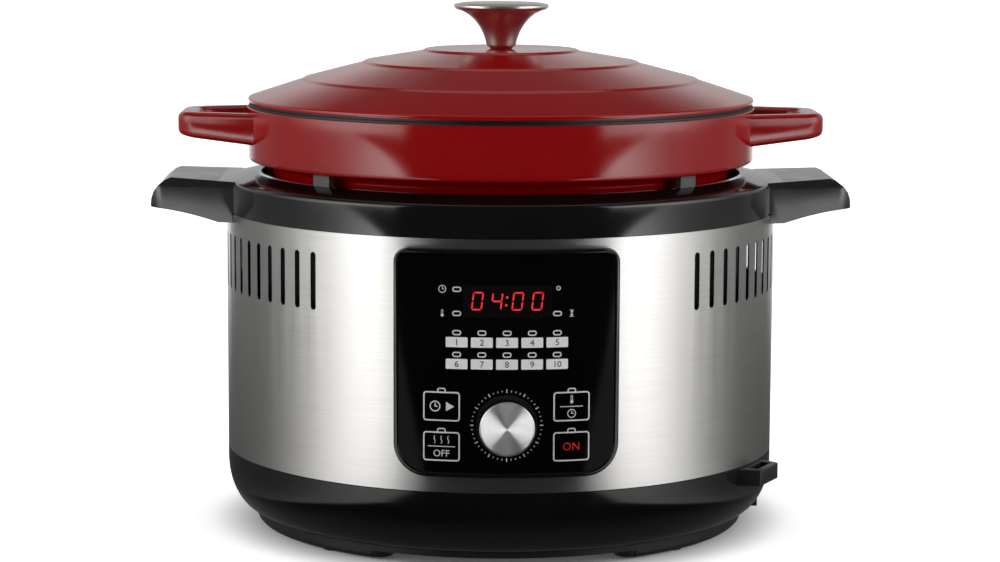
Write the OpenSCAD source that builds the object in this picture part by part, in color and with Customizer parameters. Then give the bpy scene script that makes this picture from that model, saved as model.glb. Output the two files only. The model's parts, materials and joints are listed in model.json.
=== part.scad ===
// Multicooker: a heated base with a curved control panel, a lift-out cast pot and a lift-off lid.
// Z is up from the tabletop, the panel faces -Y, X points to the right, and Z is the body's axis.

/* [Base] */
// Outside diameter of the steel band
body_d = 290; // [286:1:296]
// Sheet thickness of the steel band
band_t = 0.8; // [0.6:0.1:1]
// Height of the steel band
band_h = 124.9; // [122:0.1:130]
// Depth of the folded hem at both edges of the band
hem_w = 1.8; // [1.5:0.1:2.2]
// Height of the folded hem
hem_h = 4; // [3:0.5:6]
// Height of the lower shell between plinth and band
shell_h = 32.7; // [31:0.1:36]
// Straight part at the top of the lower shell
shell_straight = 6.8; // [5:0.1:9]
// Wall of the moulded shells
shell_t = 2.5; // [2:0.1:2.8]
// Height of the lips that locate the band
lip_h = 4.2; // [4:0.1:6]
// Diameter of the plinth
plinth_d = 260.4; // [256:0.2:264]
// Thickness of the bottom cover
cover_t = 3.3; // [2.5:0.1:4]
// Height of the arc feet under the bottom cover
foot_h = 4.3; // [3.5:0.1:6]
// Radial width of an arc foot
foot_w = 16; // [14:0.5:18]
// How far an arc foot stands back from the plinth's edge
foot_back = 0.5; // [0.3:0.1:2]
// Radius of a foot's lower edges
foot_edge = 2.5; // [1:0.1:2.6]
// Angle from the front to the end of an arc foot
foot_start = 27; // [24:1:32]
// Diameter of a rubber pad
pad_d = 10.5; // [9:0.5:11]
// Depth of a rubber pad in its foot
pad_seat = 2; // [1:0.5:3]
// Height of a rubber pad under its foot
pad_proud = 0.8; // [0.5:0.1:1.5]

/* [Vents] */
// Number of vent slots on each side
vent_count = 23; // [15:2:23]
// Angle between two vent slots
vent_pitch = 4.45; // [4:0.01:4.6]
// Width of a vent slot
vent_w = 3.5; // [2:0.1:4]
// Length of a vent slot
vent_len = 29; // [20:1:34]
// Distance from the band's top edge to the slots
vent_drop = 10.5; // [8:0.5:16]

/* [Top ring] */
// Step from the band in to the ring's outer wall
ring_inset = 0.4; // [0.2:0.1:0.6]
// Height of the ring's outer wall
ring_wall_h = 16.2; // [14:0.1:18]
// Rise of the ring's slope to its lip
ring_rise = 3.8; // [3:0.1:6]
// Radius of the ring's outer edge
ring_edge = 2.5; // [1:0.1:3.5]
// Width of the flat lip at the ring's mouth
ring_lip_w = 3.5; // [3:0.1:4.5]
// Radial gap between the pot's lower wall and the ring's mouth
mouth_gap = 6; // [5:0.1:6.5]
// Height of the liner's flange over the band
flange_rise = 8.5; // [8:0.1:10]

/* [Base handles] */
// Overall width across the two base handles
handle_span = 366.6; // [358:0.2:376]
// Half width of a base handle at its end
handle_half = 31; // [28:0.5:36]
// Angle between a handle's side and its middle line
handle_taper = 11.6; // [6:0.2:14]
// Height of the handle's top over the ring's outer wall, at that wall
handle_top_up = 0.7; // [0.3:0.1:1.2]
// Rise of the handle's top from the wall to its end
handle_rise = 1.9; // [0:0.1:3]
// Thickness of a handle at its end
handle_end_t = 16.3; // [14:0.1:18]
// How far the underside falls from the end to the root
handle_fall = 6.9; // [5:0.1:8]
// Corner radius of a handle seen from above
handle_corner = 8; // [6:0.5:14]
// Width of the bevel along a handle's sides
handle_edge = 4; // [2:0.1:5]
// Width of the bevel across a handle's end
handle_bevel = 8; // [4:0.1:9]
// Wall of the hollow handle
handle_wall = 2.5; // [2:0.1:3]
// Thickness of a handle's bottom cover
handle_cover_t = 3; // [2.6:0.1:3.6]

/* [Pot] */
// Diameter of the pot's upper wall
pot_d = 267.6; // [266:0.1:270]
// Diameter of the pot's lower wall
pot_low_d = 241; // [238:0.1:243]
// Wall of the pot
pot_wall = 4.5; // [3.5:0.1:5]
// Thickness of the pot's floor
pot_floor = 5; // [4:0.1:7]
// Height of the pot's upper wall, shoulder to rim
pot_upper_h = 29.4; // [28:0.1:36]
// Radius under the pot's shoulder
pot_shoulder_r = 2.4; // [2:0.1:4]
// Radius at the pot's foot
pot_foot_r = 12; // [8:0.5:18]
// Height of the bare rim on the pot and on the lid
rim_h = 1.2; // [1:0.1:2]
// How far the bare rim stands back
rim_step = 0.8; // [0.3:0.1:1]
// Gap between the ring's lip and the pot's shoulder
rest_gap = 5.8; // [4:0.1:7]
// Depth of the well from the ring's lip to the heating plate
well_depth = 92; // [88:0.5:95]

/* [Pot handles] */
// Overall width across the pot's loop handles
loop_span = 339; // [334:0.2:346]
// Half width of a loop at its outer end
loop_half = 22.6; // [20:0.1:26]
// Half width of a loop at the pot
loop_root_half = 39; // [37:0.5:42]
// Thickness of the loop's bar seen from above
loop_bar = 10.7; // [9:0.1:12]
// Outer corner radius of a loop
loop_corner = 13; // [11:0.5:15]
// Drop from the rim to the loop's top
loop_drop = 3.7; // [2:0.1:5]
// Height of a loop at its outer end
loop_end_h = 12.5; // [10:0.5:13]
// Height of a loop at the pot
loop_root_h = 16.7; // [15:0.1:18]

/* [Lid] */
// How far the lid's edge stands back from the pot's wall
lid_back = 0.3; // [0:0.1:1]
// Height of the lid's straight edge over its bare rim
lid_edge_h = 1.9; // [1:0.1:3]
// Thickness of the lid
lid_t = 4; // [3:0.1:5]
// Radius of the outer step
step_r1 = 105.5; // [100:0.5:110]
// Radius of the middle step
step_r2 = 74; // [68:0.5:78]
// Radius of the inner step
step_r3 = 42; // [38:0.5:46]
// Rise of the outer terrace
rise_1 = 9.3; // [7:0.1:11]
// Rise of the middle terrace
rise_2 = 7.6; // [6:0.1:9]
// Rise of the inner terrace
rise_3 = 5.1; // [4:0.1:7]
// Height of a step
step_h = 1.2; // [0.5:0.1:2]
// Width of a step
step_w = 2; // [1:0.1:3]
// Depth of the locating lip inside the pot
lid_lip_h = 4.5; // [3:0.1:6]

/* [Lid knob] */
// Diameter of the lid knob
knob_d = 50.2; // [46:0.1:56]
// Height of the lid knob
knob_h = 24.3; // [22:0.1:28]
// Thickness of the knob's rim
knob_rim = 3.7; // [3:0.1:5]
// Diameter of the knob's stem
knob_stem_d = 15.2; // [13:0.1:18]
// Diameter of the knob's seat on the lid
knob_seat_d = 11; // [10:0.1:12]
// Thread diameter of the knob screw
knob_screw_d = 5; // [4:0.5:6]

/* [Heating] */
// Gap between the pot's lower wall and the liner
liner_gap = 2.5; // [2:0.1:3]
// Sheet thickness of the liner and the heat shield
liner_t = 0.8; // [0.6:0.1:1]
// Air gap between liner and heat shield
shield_gap = 2.2; // [1.5:0.1:2.5]
// Diameter of the heating plate
plate_d = 196; // [190:1:204]
// Thickness of the heating plate
plate_t = 12; // [10:0.5:14]
// Diameter of the heating element's ring
element_ring_d = 140; // [130:1:144]
// Diameter of the element's tube
element_d = 7.5; // [6:0.5:8]
// Height of the posts under the heating plate
post_h = 6.2; // [5.4:0.1:8]
// Diameter of the posts and legs
post_d = 11; // [10:0.5:12]
// Radius of the circle of posts and legs
post_circle = 86; // [84:0.5:88]
// Diameter of the sensor's cap
sensor_d = 39; // [36:0.5:40]
// Thickness of the sensor's cap
sensor_t = 4; // [3:0.5:5]
// Diameter of the sensor's stem
sensor_stem_d = 12; // [10:0.5:13]
// Travel of the sensor when the pot presses it
sensor_travel = 2.5; // [2:0.5:3]

/* [Panel] */
// Width of the control panel
panel_w = 110.3; // [109:0.1:114]
// Gap between the shell's lip and the panel
panel_low_gap = 3.9; // [2:0.1:5]
// Gap between the panel and the ring's lip
panel_top_gap = 0.4; // [0.1:0.1:1]
// Top corner radius of the panel
panel_top_r = 7; // [6:0.1:9]
// Bottom corner radius of the panel
panel_low_r = 16; // [12:0.1:18]
// How far the bezel stands out from the band
bezel_proud = 2.9; // [2.5:0.1:3.4]
// Width of the bezel
bezel_w = 2.4; // [2.2:0.1:3]
// Thickness of the panel face
face_t = 3; // [2.5:0.1:3.2]
// Depth from the back of the panel face to the control board
board_depth = 13.5; // [13:0.1:14]

/* [Controls] */
// Width of a key
key_w = 16.1; // [15:0.1:17]
// Height of a key
key_h = 12.3; // [11:0.1:13]
// Distance of the keys from the panel's middle
key_x = 31.7; // [30:0.1:33]
// Height of the lower keys over the panel's lower edge
key_low = 15.3; // [14:0.1:16.5]
// Height between the two rows of keys
key_row = 19.8; // [18:0.1:21]
// Travel of a key
key_travel = 0.8; // [0.5:0.1:1]
// Height of the dial over the panel's lower edge
dial_up = 26.2; // [24.5:0.1:28]
// Diameter of the dial's cap
dial_d = 26.8; // [25:0.1:28]
// How far the dial stands out from the panel face
dial_out = 11; // [10:0.1:14]
// Diameter of the dial's skirt
dial_skirt_d = 30; // [29:0.1:31]
// Diameter of the dial's shaft
shaft_d = 6; // [5:0.1:6.4]
// Width of an indicator window
lamp_w = 3.4; // [3:0.1:4]
// Height of an indicator window
lamp_h = 1.6; // [1.4:0.1:2.2]
// Distance between two programme lamps
lamp_pitch = 12.2; // [12:0.1:12.6]
// Height of the lower programme lamps over the panel's lower edge
lamp_low = 60.9; // [60:0.1:63]
// Height between the two rows of programme lamps
lamp_row = 10.7; // [10:0.1:11]
// Distance of the mode lamps from the panel's middle
mode_x = 24.4; // [24:0.1:26]
// Height of the lower mode lamps over the panel's lower edge
mode_low = 81; // [79:0.1:82]
// Height between the two rows of mode lamps
mode_row = 11.8; // [11:0.1:12.5]
// Height of the display over the panel's lower edge
display_up = 87.2; // [86:0.1:88]
// Width of the display window
display_w = 43; // [42:0.1:44]
// Height of the display window
display_h = 16; // [14:0.1:16.5]

/* [Inlet and loop] */
// Angle of the power inlet from the right side, towards the back
inlet_angle = 3; // [0:1:6]
// Width of the inlet's face
inlet_w = 44; // [42:0.5:46]
// Height of the inlet's face
inlet_h = 25; // [24:0.5:26]
// Width of the plug's socket
socket_w = 24.4; // [24:0.1:25]
// Height of the plug's socket
socket_h = 16.4; // [15:0.1:16.6]
// Depth of the plug's socket
socket_depth = 16.5; // [15:0.1:17.5]
// Angle of the side loop from the right side, towards the front
loop_angle = 28; // [26:1:34]
// How far the side loop stands out
side_loop_out = 10.7; // [10:0.1:12]
// Width of the side loop at its outer face
side_loop_w = 24; // [22:0.5:26]
// Height of the side loop
side_loop_h = 8.4; // [8:0.1:9]
// Wall of the side loop
side_loop_t = 3; // [2.4:0.1:3.2]

/* [Fits] */
// Clearance between fixed mouldings
fit = 0.2; // [0.1:0.05:0.3]
// Clearance around a moving key
key_gap = 0.35; // [0.3:0.05:0.45]
// Radial clearance of a turning or sliding shaft
run_fit = 0.05; // [0.02:0.01:0.08]
// Clearance over the pads and the sensor under the pot
pot_clear = 0.3; // [0.2:0.05:0.4]
// Diameter of the casing screws
screw_d = 4; // [3.5:0.1:4.2]
// Diameter of the small screws
small_screw_d = 3; // [2.5:0.1:3.2]

/* [Hidden] */
$fn = 96;

// Radii
body_r = body_d / 2;
plinth_r = plinth_d / 2;
band_in_r = body_r - band_t;
lip_out_r = body_r - hem_w - fit;
lip_in_r = lip_out_r - 2;
ring_r = body_r - ring_inset;
pot_r = pot_d / 2;
pot_low_r = pot_low_d / 2;
mouth_r = pot_low_r + mouth_gap;
lip_edge_r = mouth_r + ring_lip_w;
liner_in_r = pot_low_r + liner_gap;
liner_out_r = liner_in_r + liner_t;
shield_in_r = liner_out_r + shield_gap;
shield_out_r = shield_in_r + liner_t;
ring_boss_d = 8;
ring_boss_r = (mouth_r + shell_t + lip_in_r) / 2;
flange_r = ring_boss_r + ring_boss_d / 2;

// Heights, from the table up
cover_z = pad_proud + foot_h;
plinth_z = cover_z + cover_t;
band_z = plinth_z + shell_h;
bowl_z = band_z - shell_straight;
ring_z = band_z + band_h;
ring_wall_z = ring_z + ring_wall_h;
lip_z = ring_wall_z + ring_rise;
flange_z = ring_z + flange_rise;
plate_z = lip_z - well_depth;
pot_z = plate_z;
shoulder_z = lip_z + rest_gap;
rim_z = shoulder_z + pot_upper_h;
lid_edge_z = rim_z + rim_h + lid_edge_h;
terrace_2_z = lid_edge_z + rise_1 + step_h;
terrace_3_z = terrace_2_z + rise_2 + step_h;
plateau_z = terrace_3_z + rise_3 + step_h;
plate_low_z = plate_z - plate_t;
floor_top_z = plate_low_z - post_h;
floor_z = floor_top_z - liner_t;

// Slope of the ring's top
slope = atan2(ring_rise, ring_r - lip_edge_r);
edge_z = ring_wall_z - ring_edge * (1 - sin(slope)) / cos(slope);
function ring_top(r) = ring_wall_z + (ring_r - r) * tan(slope);
function ring_under(r) = ring_top(r) - shell_t / cos(slope);
ring_boss_z = ring_top(flange_r) - shell_t / 2;

// Places round the axis, in degrees from the right side
quarter_angles = [45, 135, 225, 315];
cross_angles = [0, 90, 180, 270];
leg_angles = [90, 210, 330];
ring_screw_angles = [30, 90, 150, 210, 270, 330];
foot_mid_r = plinth_r - foot_back - foot_w / 2;
foot_cap_d = foot_w - 1;
foot_top_z = cover_z + cover_t / 2;
foot_half_angle = 90 - foot_start - asin(foot_w / 2 / foot_mid_r);
shell_flange_w = 31;
shell_flange_r = plinth_r - shell_flange_w;
shell_boss_in = 24;
shell_boss_r = plinth_r - shell_boss_in;
shell_boss_d = 9;
shell_boss_h = 12;
air_slot_count = 7;
air_slot_pitch = 7;
air_slot_x = 25;
air_slot_y = -22;
air_slot_l = 36;
air_slot_w = 3.4;

// Screw heads
head_h = 2.2;
head_d = screw_d * 1.9;
small_head_h = 1.8;
small_head_d = small_screw_d * 1.9;
screw_play = 0.05;

// Handle lines
handle_end = handle_span / 2;
handle_low_z = ring_wall_z + handle_top_up + handle_rise - handle_end_t;
handle_root_z = handle_low_z - handle_fall;
handle_root_x = body_r + 2;
handle_lean = atan2(handle_rise, handle_end - ring_r);
handle_sweep = 1.6;
handle_start_x = body_r - 15;
handle_cut_r = body_r - 2;
handle_blend_r = ring_r - handle_top_up / tan(slope) + 0.3;
handle_hollow_r = body_r + 2.5;
handle_screw_x = (handle_hollow_r + handle_end) / 2;
handle_screw_y = handle_side(handle_screw_x) / 2;
handle_boss_d = 8;
function handle_side(x) = handle_half + (handle_end - x) * tan(handle_taper);
function handle_top(x) = ring_wall_z + handle_top_up + (x - ring_r) * tan(handle_lean);
function handle_under(x) =
    handle_low_z - handle_fall * pow((handle_end - x) / (handle_end - handle_root_x), handle_sweep);
function handle_line(x0, x1, up) =
    [for (i = [0 : 8]) let (x = x0 + (x1 - x0) * i / 8) [x, handle_under(x) + up]];

// Panel lines
panel_z = band_z + lip_h + panel_low_gap;
panel_h = ring_z - lip_h - panel_top_gap - panel_z;
panel_mid_z = panel_z + panel_h / 2;
bezel_r = body_r + bezel_proud;
face_r = bezel_r - 0.4;
face_in_r = face_r - face_t;
board_y = face_in_r - board_depth;
collar_t = 1.6;
ledge_w = 1.8;
ledge_t = 2.5;
bezel_lift = 0.05;
key_turn = asin(key_x / face_r);
key_low_z = panel_z + key_low;
key_high_z = key_low_z + key_row;
key_corner = 1.6;
dial_z = panel_z + dial_up;
dial_seat_y = face_r - 1.2;
dial_gap = 0.4;
dial_skirt_t = 2.4;
dial_cap_y = face_r + dial_out;
pointer_w = 1.8;
pointer_l = 3.4;
pointer_in = 2.2;
pointer_depth = 0.5;
shaft_hole_play = 0.6;
encoder_y = board_y + 6.5;
encoder_w = 12;
bush_d = 9;
bush_l = 4;
shaft_in = 3;
display_z = panel_z + display_up;
lamp_fit = 0.1;
lamp_wall = 0.45;
lamp_key_up = key_h / 2 + key_gap + lamp_wall + lamp_fit + lamp_h / 2;
mode_low_z = panel_z + mode_low;
mode_high_z = mode_low_z + mode_row;
lamps = concat(
    [for (i = [-2 : 2], row = [0, 1]) [i * lamp_pitch, panel_z + lamp_low + row * lamp_row]],
    [for (side = [-1, 1], z = [key_low_z, key_high_z]) [side * key_x, z + lamp_key_up]],
    [[-mode_x, mode_low_z], [mode_x, mode_low_z], [-mode_x, mode_high_z]]
);
board_w = 88;
board_t = 1.6;
board_low_z = panel_z + 3;
board_h = panel_h - 12;
board_post_d = 6.5;
board_posts_at = [
    for (side = [-1, 1]) each [[side * 39, panel_z + panel_h - 15], [side * 14, panel_z + 7]]
];
switch_w = 6.2;
switch_h = 3.4;
plunger_d = 3.4;
plunger_h = 4.4;
switch_x = (board_y + plunger_h) * tan(key_turn);
switch_reach = (switch_x + plunger_d / 2) * sin(key_turn) + (board_y + plunger_h) * cos(key_turn);
key_stem_d = 5;

// Inlet, loop and power board places
inlet_x = body_r - 8;
inlet_plate_t = 3.5;
inlet_low_z = plinth_z - 2;
inlet_body_w = socket_w + 6;
inlet_window_x = plinth_r + 1.5;
inlet_window_depth = body_r + 5 - inlet_window_x;
inlet_body_x = inlet_x - socket_depth - 8.5;
inlet_body_z = plinth_z + shell_t + 0.8;
inlet_wall = 1.5;
inlet_mid_z = inlet_body_z + inlet_wall + socket_h / 2;
inlet_play = 0.4;
inlet_ear_w = 10;
inlet_ear_t = 3;
pin_w = 4;
pin_t = 2;
side_loop_root_w = side_loop_w + 10;
side_loop_top_z = band_z - 1.2;
side_loop_low_z = side_loop_top_z - side_loop_h;
tongue_w = 18;
tongue_h = 4.6;
supply_w = 84;
supply_l = 56;
supply_x = -42;
supply_y = 22;
supply_z = plinth_z + 8;
supply_post_d = 7;
supply_post_in = 5;
relay = [19, 15.5, 15.5];
relay_x = supply_x - 30;
transformer = [24, 24, 20];
transformer_x = supply_x - 6;
capacitor_d = 10;
capacitor_h = 17;
capacitor_x = supply_x + 27;
capacitor_y = 7;
terminal = [6, 8, 9];
terminal_y = supply_y + 21;
terminal_half_angle = 20;
terminal_z = floor_z - 15;
function terminal_x(side) = supply_x + 18 + side * terminal[0];
lead_d = 3.2;
lead_stub = 2;
lead_bow = 17;
sensor_guide_t = 1.5;
sensor_low_z = floor_z - 9;
clip_t = 1;
clip_z = floor_z - sensor_guide_t - sensor_travel - clip_t;
spring_wire_d = 1.6;
spring_d = 22;
spring_turns = 5;

// A ring between two radii and two heights
module ring(r_out, r_in, z0, z1) {
    translate([0, 0, z0])
        difference() {
            cylinder(r = r_out, h = z1 - z0);
            translate([0, 0, -1]) cylinder(r = r_in, h = z1 - z0 + 2);
        }
}

// A round bar along Z
module bar(d, z0, z1) {
    translate([0, 0, z0]) cylinder(d = d, h = z1 - z0);
}

// A flat outline with its own top and bottom corner radii
module round_plate(w, h, r_top, r_low) {
    translate([-w / 2, -h / 2 + r_low]) square([w, h - r_low - r_top]);
    translate([-w / 2 + r_low, -h / 2]) square([w - 2 * r_low, h / 2]);
    translate([-w / 2 + r_top, 0]) square([w - 2 * r_top, h / 2]);
    for (side = [-1, 1]) {
        translate([side * (w / 2 - r_low), -h / 2 + r_low]) circle(r = r_low);
        translate([side * (w / 2 - r_top), h / 2 - r_top]) circle(r = r_top);
    }
}

// Pushes a flat outline in X and Z out to the front, between two distances from the axis
module to_front(y0, y1) {
    rotate([90, 0, 0]) translate([0, 0, y0]) linear_extrude(y1 - y0) children();
}

// The part of a front prism that lies between two cylinders round the axis
module curved(r_in, r_out) {
    intersection() {
        to_front(body_r - 30, body_r + 20) children();
        ring(r_out, r_in, 0, ring_z);
    }
}

// A screw that enters upwards: head under z, shank over it
module screw_up(d, head_d, head_h, z, length) {
    translate([0, 0, z - head_h]) cylinder(d = head_d, h = head_h);
    translate([0, 0, z]) cylinder(d = d - 2 * screw_play, h = length);
}

// A round tube along a list of points, with its rings square to the path
function unit(v) = v / norm(v);
function path_dir(p, i) = unit(p[min(i + 1, len(p) - 1)] - p[max(i - 1, 0)]);
function tube_ring(c, dir, ref, r, sides) =
    let (u = unit(cross(dir, ref)), v = cross(u, dir))
    [for (k = [0 : sides - 1]) c + r * (cos(360 * k / sides) * u + sin(360 * k / sides) * v)];
function bezier(a, b, c, d, t) =
    pow(1 - t, 3) * a + 3 * t * pow(1 - t, 2) * b + 3 * t * t * (1 - t) * c + pow(t, 3) * d;
module tube_along(path, r, ref, sides = 8) {
    rings = [for (i = [0 : len(path) - 1]) tube_ring(path[i], path_dir(path, i), ref, r, sides)];
    last = len(path) - 1;
    polyhedron(
        points = [for (one = rings) each one],
        faces = concat(
            [[for (k = [0 : sides - 1]) k]],
            [for (i = [0 : last - 1], k = [0 : sides - 1])
                [i * sides + k, (i + 1) * sides + k, (i + 1) * sides + (k + 1) % sides,
                    i * sides + (k + 1) % sides]],
            [[for (k = [sides - 1 : -1 : 0]) last * sides + k]]
        )
    );
}

// Cross section of a foot, with rounded lower edges
function foot_arc(half, side) = [
    for (t = [0 : 30 : 90])
        [side * (half - foot_edge + foot_edge * sin(t)), pad_proud + foot_edge - foot_edge * cos(t)]
];
function foot_outline(half) = concat(
    foot_arc(half, 1),
    [[half, foot_top_z], [-half, foot_top_z]],
    [for (i = [3 : -1 : 0]) foot_arc(half, -1)[i]]
);

// Half of that cross section, for the round end of a foot
function foot_end_outline(half) =
    concat([[0, pad_proud]], foot_arc(half, 1), [[half, foot_top_z], [0, foot_top_z]]);

// Bottom cover with two long arc feet, pad pockets, screw holes and air slots
module bottom_cover() {
    color("#161616") difference() {
        union() {
            translate([0, 0, cover_z]) cylinder(r = plinth_r, h = cover_t);
            for (side = [0, 180]) rotate([0, 0, side - foot_half_angle]) {
                rotate_extrude(angle = 2 * foot_half_angle)
                    translate([foot_mid_r, 0]) polygon(foot_outline(foot_w / 2));
                for (end = [0, 2 * foot_half_angle]) rotate([0, 0, end])
                    translate([foot_mid_r, 0, 0]) rotate_extrude() polygon(foot_end_outline(foot_cap_d / 2));
            }
            at_supply_posts() bar(supply_post_d, cover_z, supply_z);
        }
        for (a = quarter_angles) rotate([0, 0, a]) translate([foot_mid_r, 0, 0])
            bar(pad_d + 2 * screw_play, 0, pad_proud + pad_seat);
        for (a = cross_angles) rotate([0, 0, a]) translate([shell_boss_r, 0, 0])
            bar(screw_d, 0, plinth_z + 1);
        for (a = leg_angles) rotate([0, 0, a]) translate([post_circle, 0, 0])
            bar(screw_d, 0, plinth_z + 1);
        at_supply_posts() bar(small_screw_d, plinth_z, supply_z + 1);
        for (i = [0 : air_slot_count - 1])
            translate([air_slot_x + i * air_slot_pitch, air_slot_y, 0]) air_slot();
    }
}

// One air slot through the bottom cover
module air_slot() {
    translate([-air_slot_w / 2, -air_slot_l / 2, cover_z - 1]) cube([air_slot_w, air_slot_l, cover_t + 2]);
}

module rubber_pads() {
    color("#202020") for (a = quarter_angles) rotate([0, 0, a]) translate([foot_mid_r, 0, 0])
        bar(pad_d, 0, pad_proud + pad_seat);
}

// Screws through the bottom cover, into the lower shell and into the legs
module bottom_screws() {
    color("#b8b8b8") {
        for (a = cross_angles) rotate([0, 0, a]) translate([shell_boss_r, 0, 0])
            screw_up(screw_d, head_d, head_h, cover_z, cover_t + shell_boss_h - 2);
        for (a = leg_angles) rotate([0, 0, a]) translate([post_circle, 0, 0])
            screw_up(screw_d, head_d, head_h, cover_z, cover_t + shell_boss_h - 2);
    }
}

// Bowl-shaped lower shell with its screw flange, band lip, inlet window and loop slot
module lower_shell() {
    bowl_a = body_r - plinth_r;
    bowl_b = bowl_z - plinth_z;
    color("#121212") difference() {
        union() {
            rotate_extrude() polygon(concat(
                [[body_r, band_z]],
                [for (t = [0 : 7.5 : 90]) [plinth_r + bowl_a * cos(t), bowl_z - bowl_b * sin(t)]],
                [[shell_flange_r, plinth_z], [shell_flange_r, plinth_z + shell_t]],
                [for (t = [90 : -7.5 : 0])
                    [plinth_r + (bowl_a - shell_t) * cos(t), bowl_z - (bowl_b - shell_t) * sin(t)]],
                [[lip_in_r, bowl_z + shell_straight / 2], [lip_in_r, band_z + lip_h],
                    [lip_out_r, band_z + lip_h], [lip_out_r, band_z]]
            ));
            for (a = cross_angles) rotate([0, 0, a]) translate([shell_boss_r, 0, 0])
                bar(shell_boss_d, plinth_z, plinth_z + shell_boss_h);
        }
        for (a = cross_angles) rotate([0, 0, a]) translate([shell_boss_r, 0, 0])
            bar(screw_d, plinth_z - 1, plinth_z + shell_boss_h - 1);
        rotate([0, 0, inlet_angle]) {
            translate([inlet_window_x, -inlet_w / 2 - inlet_play, plinth_z - 1])
                cube([inlet_window_depth, inlet_w + 2 * inlet_play,
                    inlet_low_z + inlet_h + inlet_play - plinth_z + 1]);
            for (side = [-1, 1]) translate([inlet_ear_x(), side * inlet_ear_y(), 0])
                bar(small_screw_d, plinth_z + 0.2, plinth_z + shell_t + 1);
        }
        rotate([0, 0, -loop_angle]) tongue(fit, body_r + 5);
    }
}

// Places of the inlet's ears
function inlet_ear_x() = inlet_body_x + inlet_ear_w / 2 + 1;
function inlet_ear_y() = inlet_body_w / 2 + inlet_ear_w / 2 - 1;

// Tongue of the side loop that passes the lower shell's wall, or its slot with some play
module tongue(play, end_x) {
    translate([lip_in_r - 4, -tongue_w / 2 - play, side_loop_low_z + (side_loop_h - tongue_h) / 2 - play])
        cube([end_x - lip_in_r + 4, tongue_w + 2 * play, tongue_h + 2 * play]);
}

// Small loop on the lower shell for a hook or a spoon rest
module side_loop() {
    out = body_r + side_loop_out;
    hole_in = body_r + 2.6;
    hole_out = out - side_loop_t;
    hole_half = side_loop_w / 2 - side_loop_t;
    color("#141414") rotate([0, 0, -loop_angle]) {
        difference() {
            translate([0, 0, side_loop_low_z]) linear_extrude(side_loop_h)
                polygon([[body_r - 5, -side_loop_root_w / 2], [out, -side_loop_w / 2],
                    [out, side_loop_w / 2], [body_r - 5, side_loop_root_w / 2]]);
            bar(2 * (body_r + bezel_lift), side_loop_low_z - 1, side_loop_top_z + 1);
            translate([hole_in, -hole_half, side_loop_low_z - 1])
                cube([hole_out - hole_in, 2 * hole_half, side_loop_h + 2]);
        }
        tongue(0, hole_in - 0.4);
    }
}

// Brushed steel band with vent slots, folded hems and the panel window
module steel_band() {
    slot_mid_z = ring_z - vent_drop - vent_len / 2;
    slot_half = (vent_len - vent_w) / 2;
    window = 2 * (bezel_w - collar_t - fit);
    color("#c9c9c6") difference() {
        union() {
            ring(body_r, band_in_r, band_z, ring_z);
            ring(body_r, body_r - hem_w, band_z, band_z + hem_h);
            ring(body_r, body_r - hem_w, ring_z - hem_h, ring_z);
        }
        for (side = [0, 180], i = [0 : vent_count - 1])
            rotate([0, 0, side + (i - (vent_count - 1) / 2) * vent_pitch])
                translate([body_r - 8, 0, slot_mid_z]) rotate([0, 90, 0]) {
                    translate([-slot_half, -vent_w / 2, 0]) cube([2 * slot_half, vent_w, 16]);
                    for (end = [-1, 1]) translate([end * slot_half, 0, 0]) cylinder(d = vent_w, h = 16);
                }
        to_front(body_r - 20, body_r + 10) translate([0, panel_mid_z])
            round_plate(panel_w - window, panel_h - window, panel_top_r - window / 2,
                panel_low_r - window / 2);
    }
}

// Flat outline of the right base handle: sides that close towards a round-cornered end
function handle_plan(inset) =
    let (
        corner = handle_corner - inset,
        x = handle_end - inset - corner,
        y = handle_side(x) - (inset + corner) / cos(handle_taper),
        root_y = handle_side(handle_start_x) - inset / cos(handle_taper),
        turn = (90 - handle_taper) / 5
    )
    concat(
        [[handle_start_x, -root_y]],
        [for (i = [-5 : 0]) [x + corner * cos(i * turn), -y + corner * sin(i * turn)]],
        [for (i = [0 : 5]) [x + corner * cos(i * turn), y + corner * sin(i * turn)]],
        [[handle_start_x, root_y]]
    );

// Room under the bevel along one side of the handle
module handle_flank(inset, side) {
    reach = 120;
    mirror([0, side < 0 ? 1 : 0, 0])
        translate([handle_start_x, handle_side(handle_start_x) - inset / cos(handle_taper),
                handle_top(handle_start_x) - inset])
            rotate([0, 0, -handle_taper]) rotate([0, -handle_lean, 0]) rotate([90, 0, 90])
                translate([0, 0, -20]) linear_extrude(reach)
                    polygon([[1, -reach], [1, -handle_edge - 1], [-reach, reach - handle_edge],
                        [-reach, -reach]]);
}

// Block shape of the right base handle, cut by its outline, its side view and its two bevels
module handle_block(inset, drop) {
    end = handle_end - inset;
    bevel_top = handle_top(end) - inset;
    half = handle_side(handle_start_x) + 1;
    intersection() {
        translate([0, 0, handle_root_z - 10]) linear_extrude(40) polygon(handle_plan(inset));
        rotate([90, 0, 0]) translate([0, 0, -half]) linear_extrude(2 * half)
            polygon(concat(
                [[handle_start_x, handle_top(handle_start_x) - inset],
                    [end - handle_bevel, handle_top(end - handle_bevel) - inset],
                    [end - handle_bevel / 8, bevel_top - handle_bevel * 0.85],
                    [end, bevel_top - handle_bevel * 1.2]],
                handle_line(end, handle_root_x, -drop),
                [[handle_start_x, handle_root_z - drop]]
            ));
        handle_flank(inset, 1);
        handle_flank(inset, -1);
    }
}

// Places of the handle screws, for both handles
module at_handle_screws() {
    for (side = [0, 180], y = [-1, 1])
        rotate([0, 0, side]) translate([handle_screw_x, y * handle_screw_y, 0]) children();
}

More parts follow.
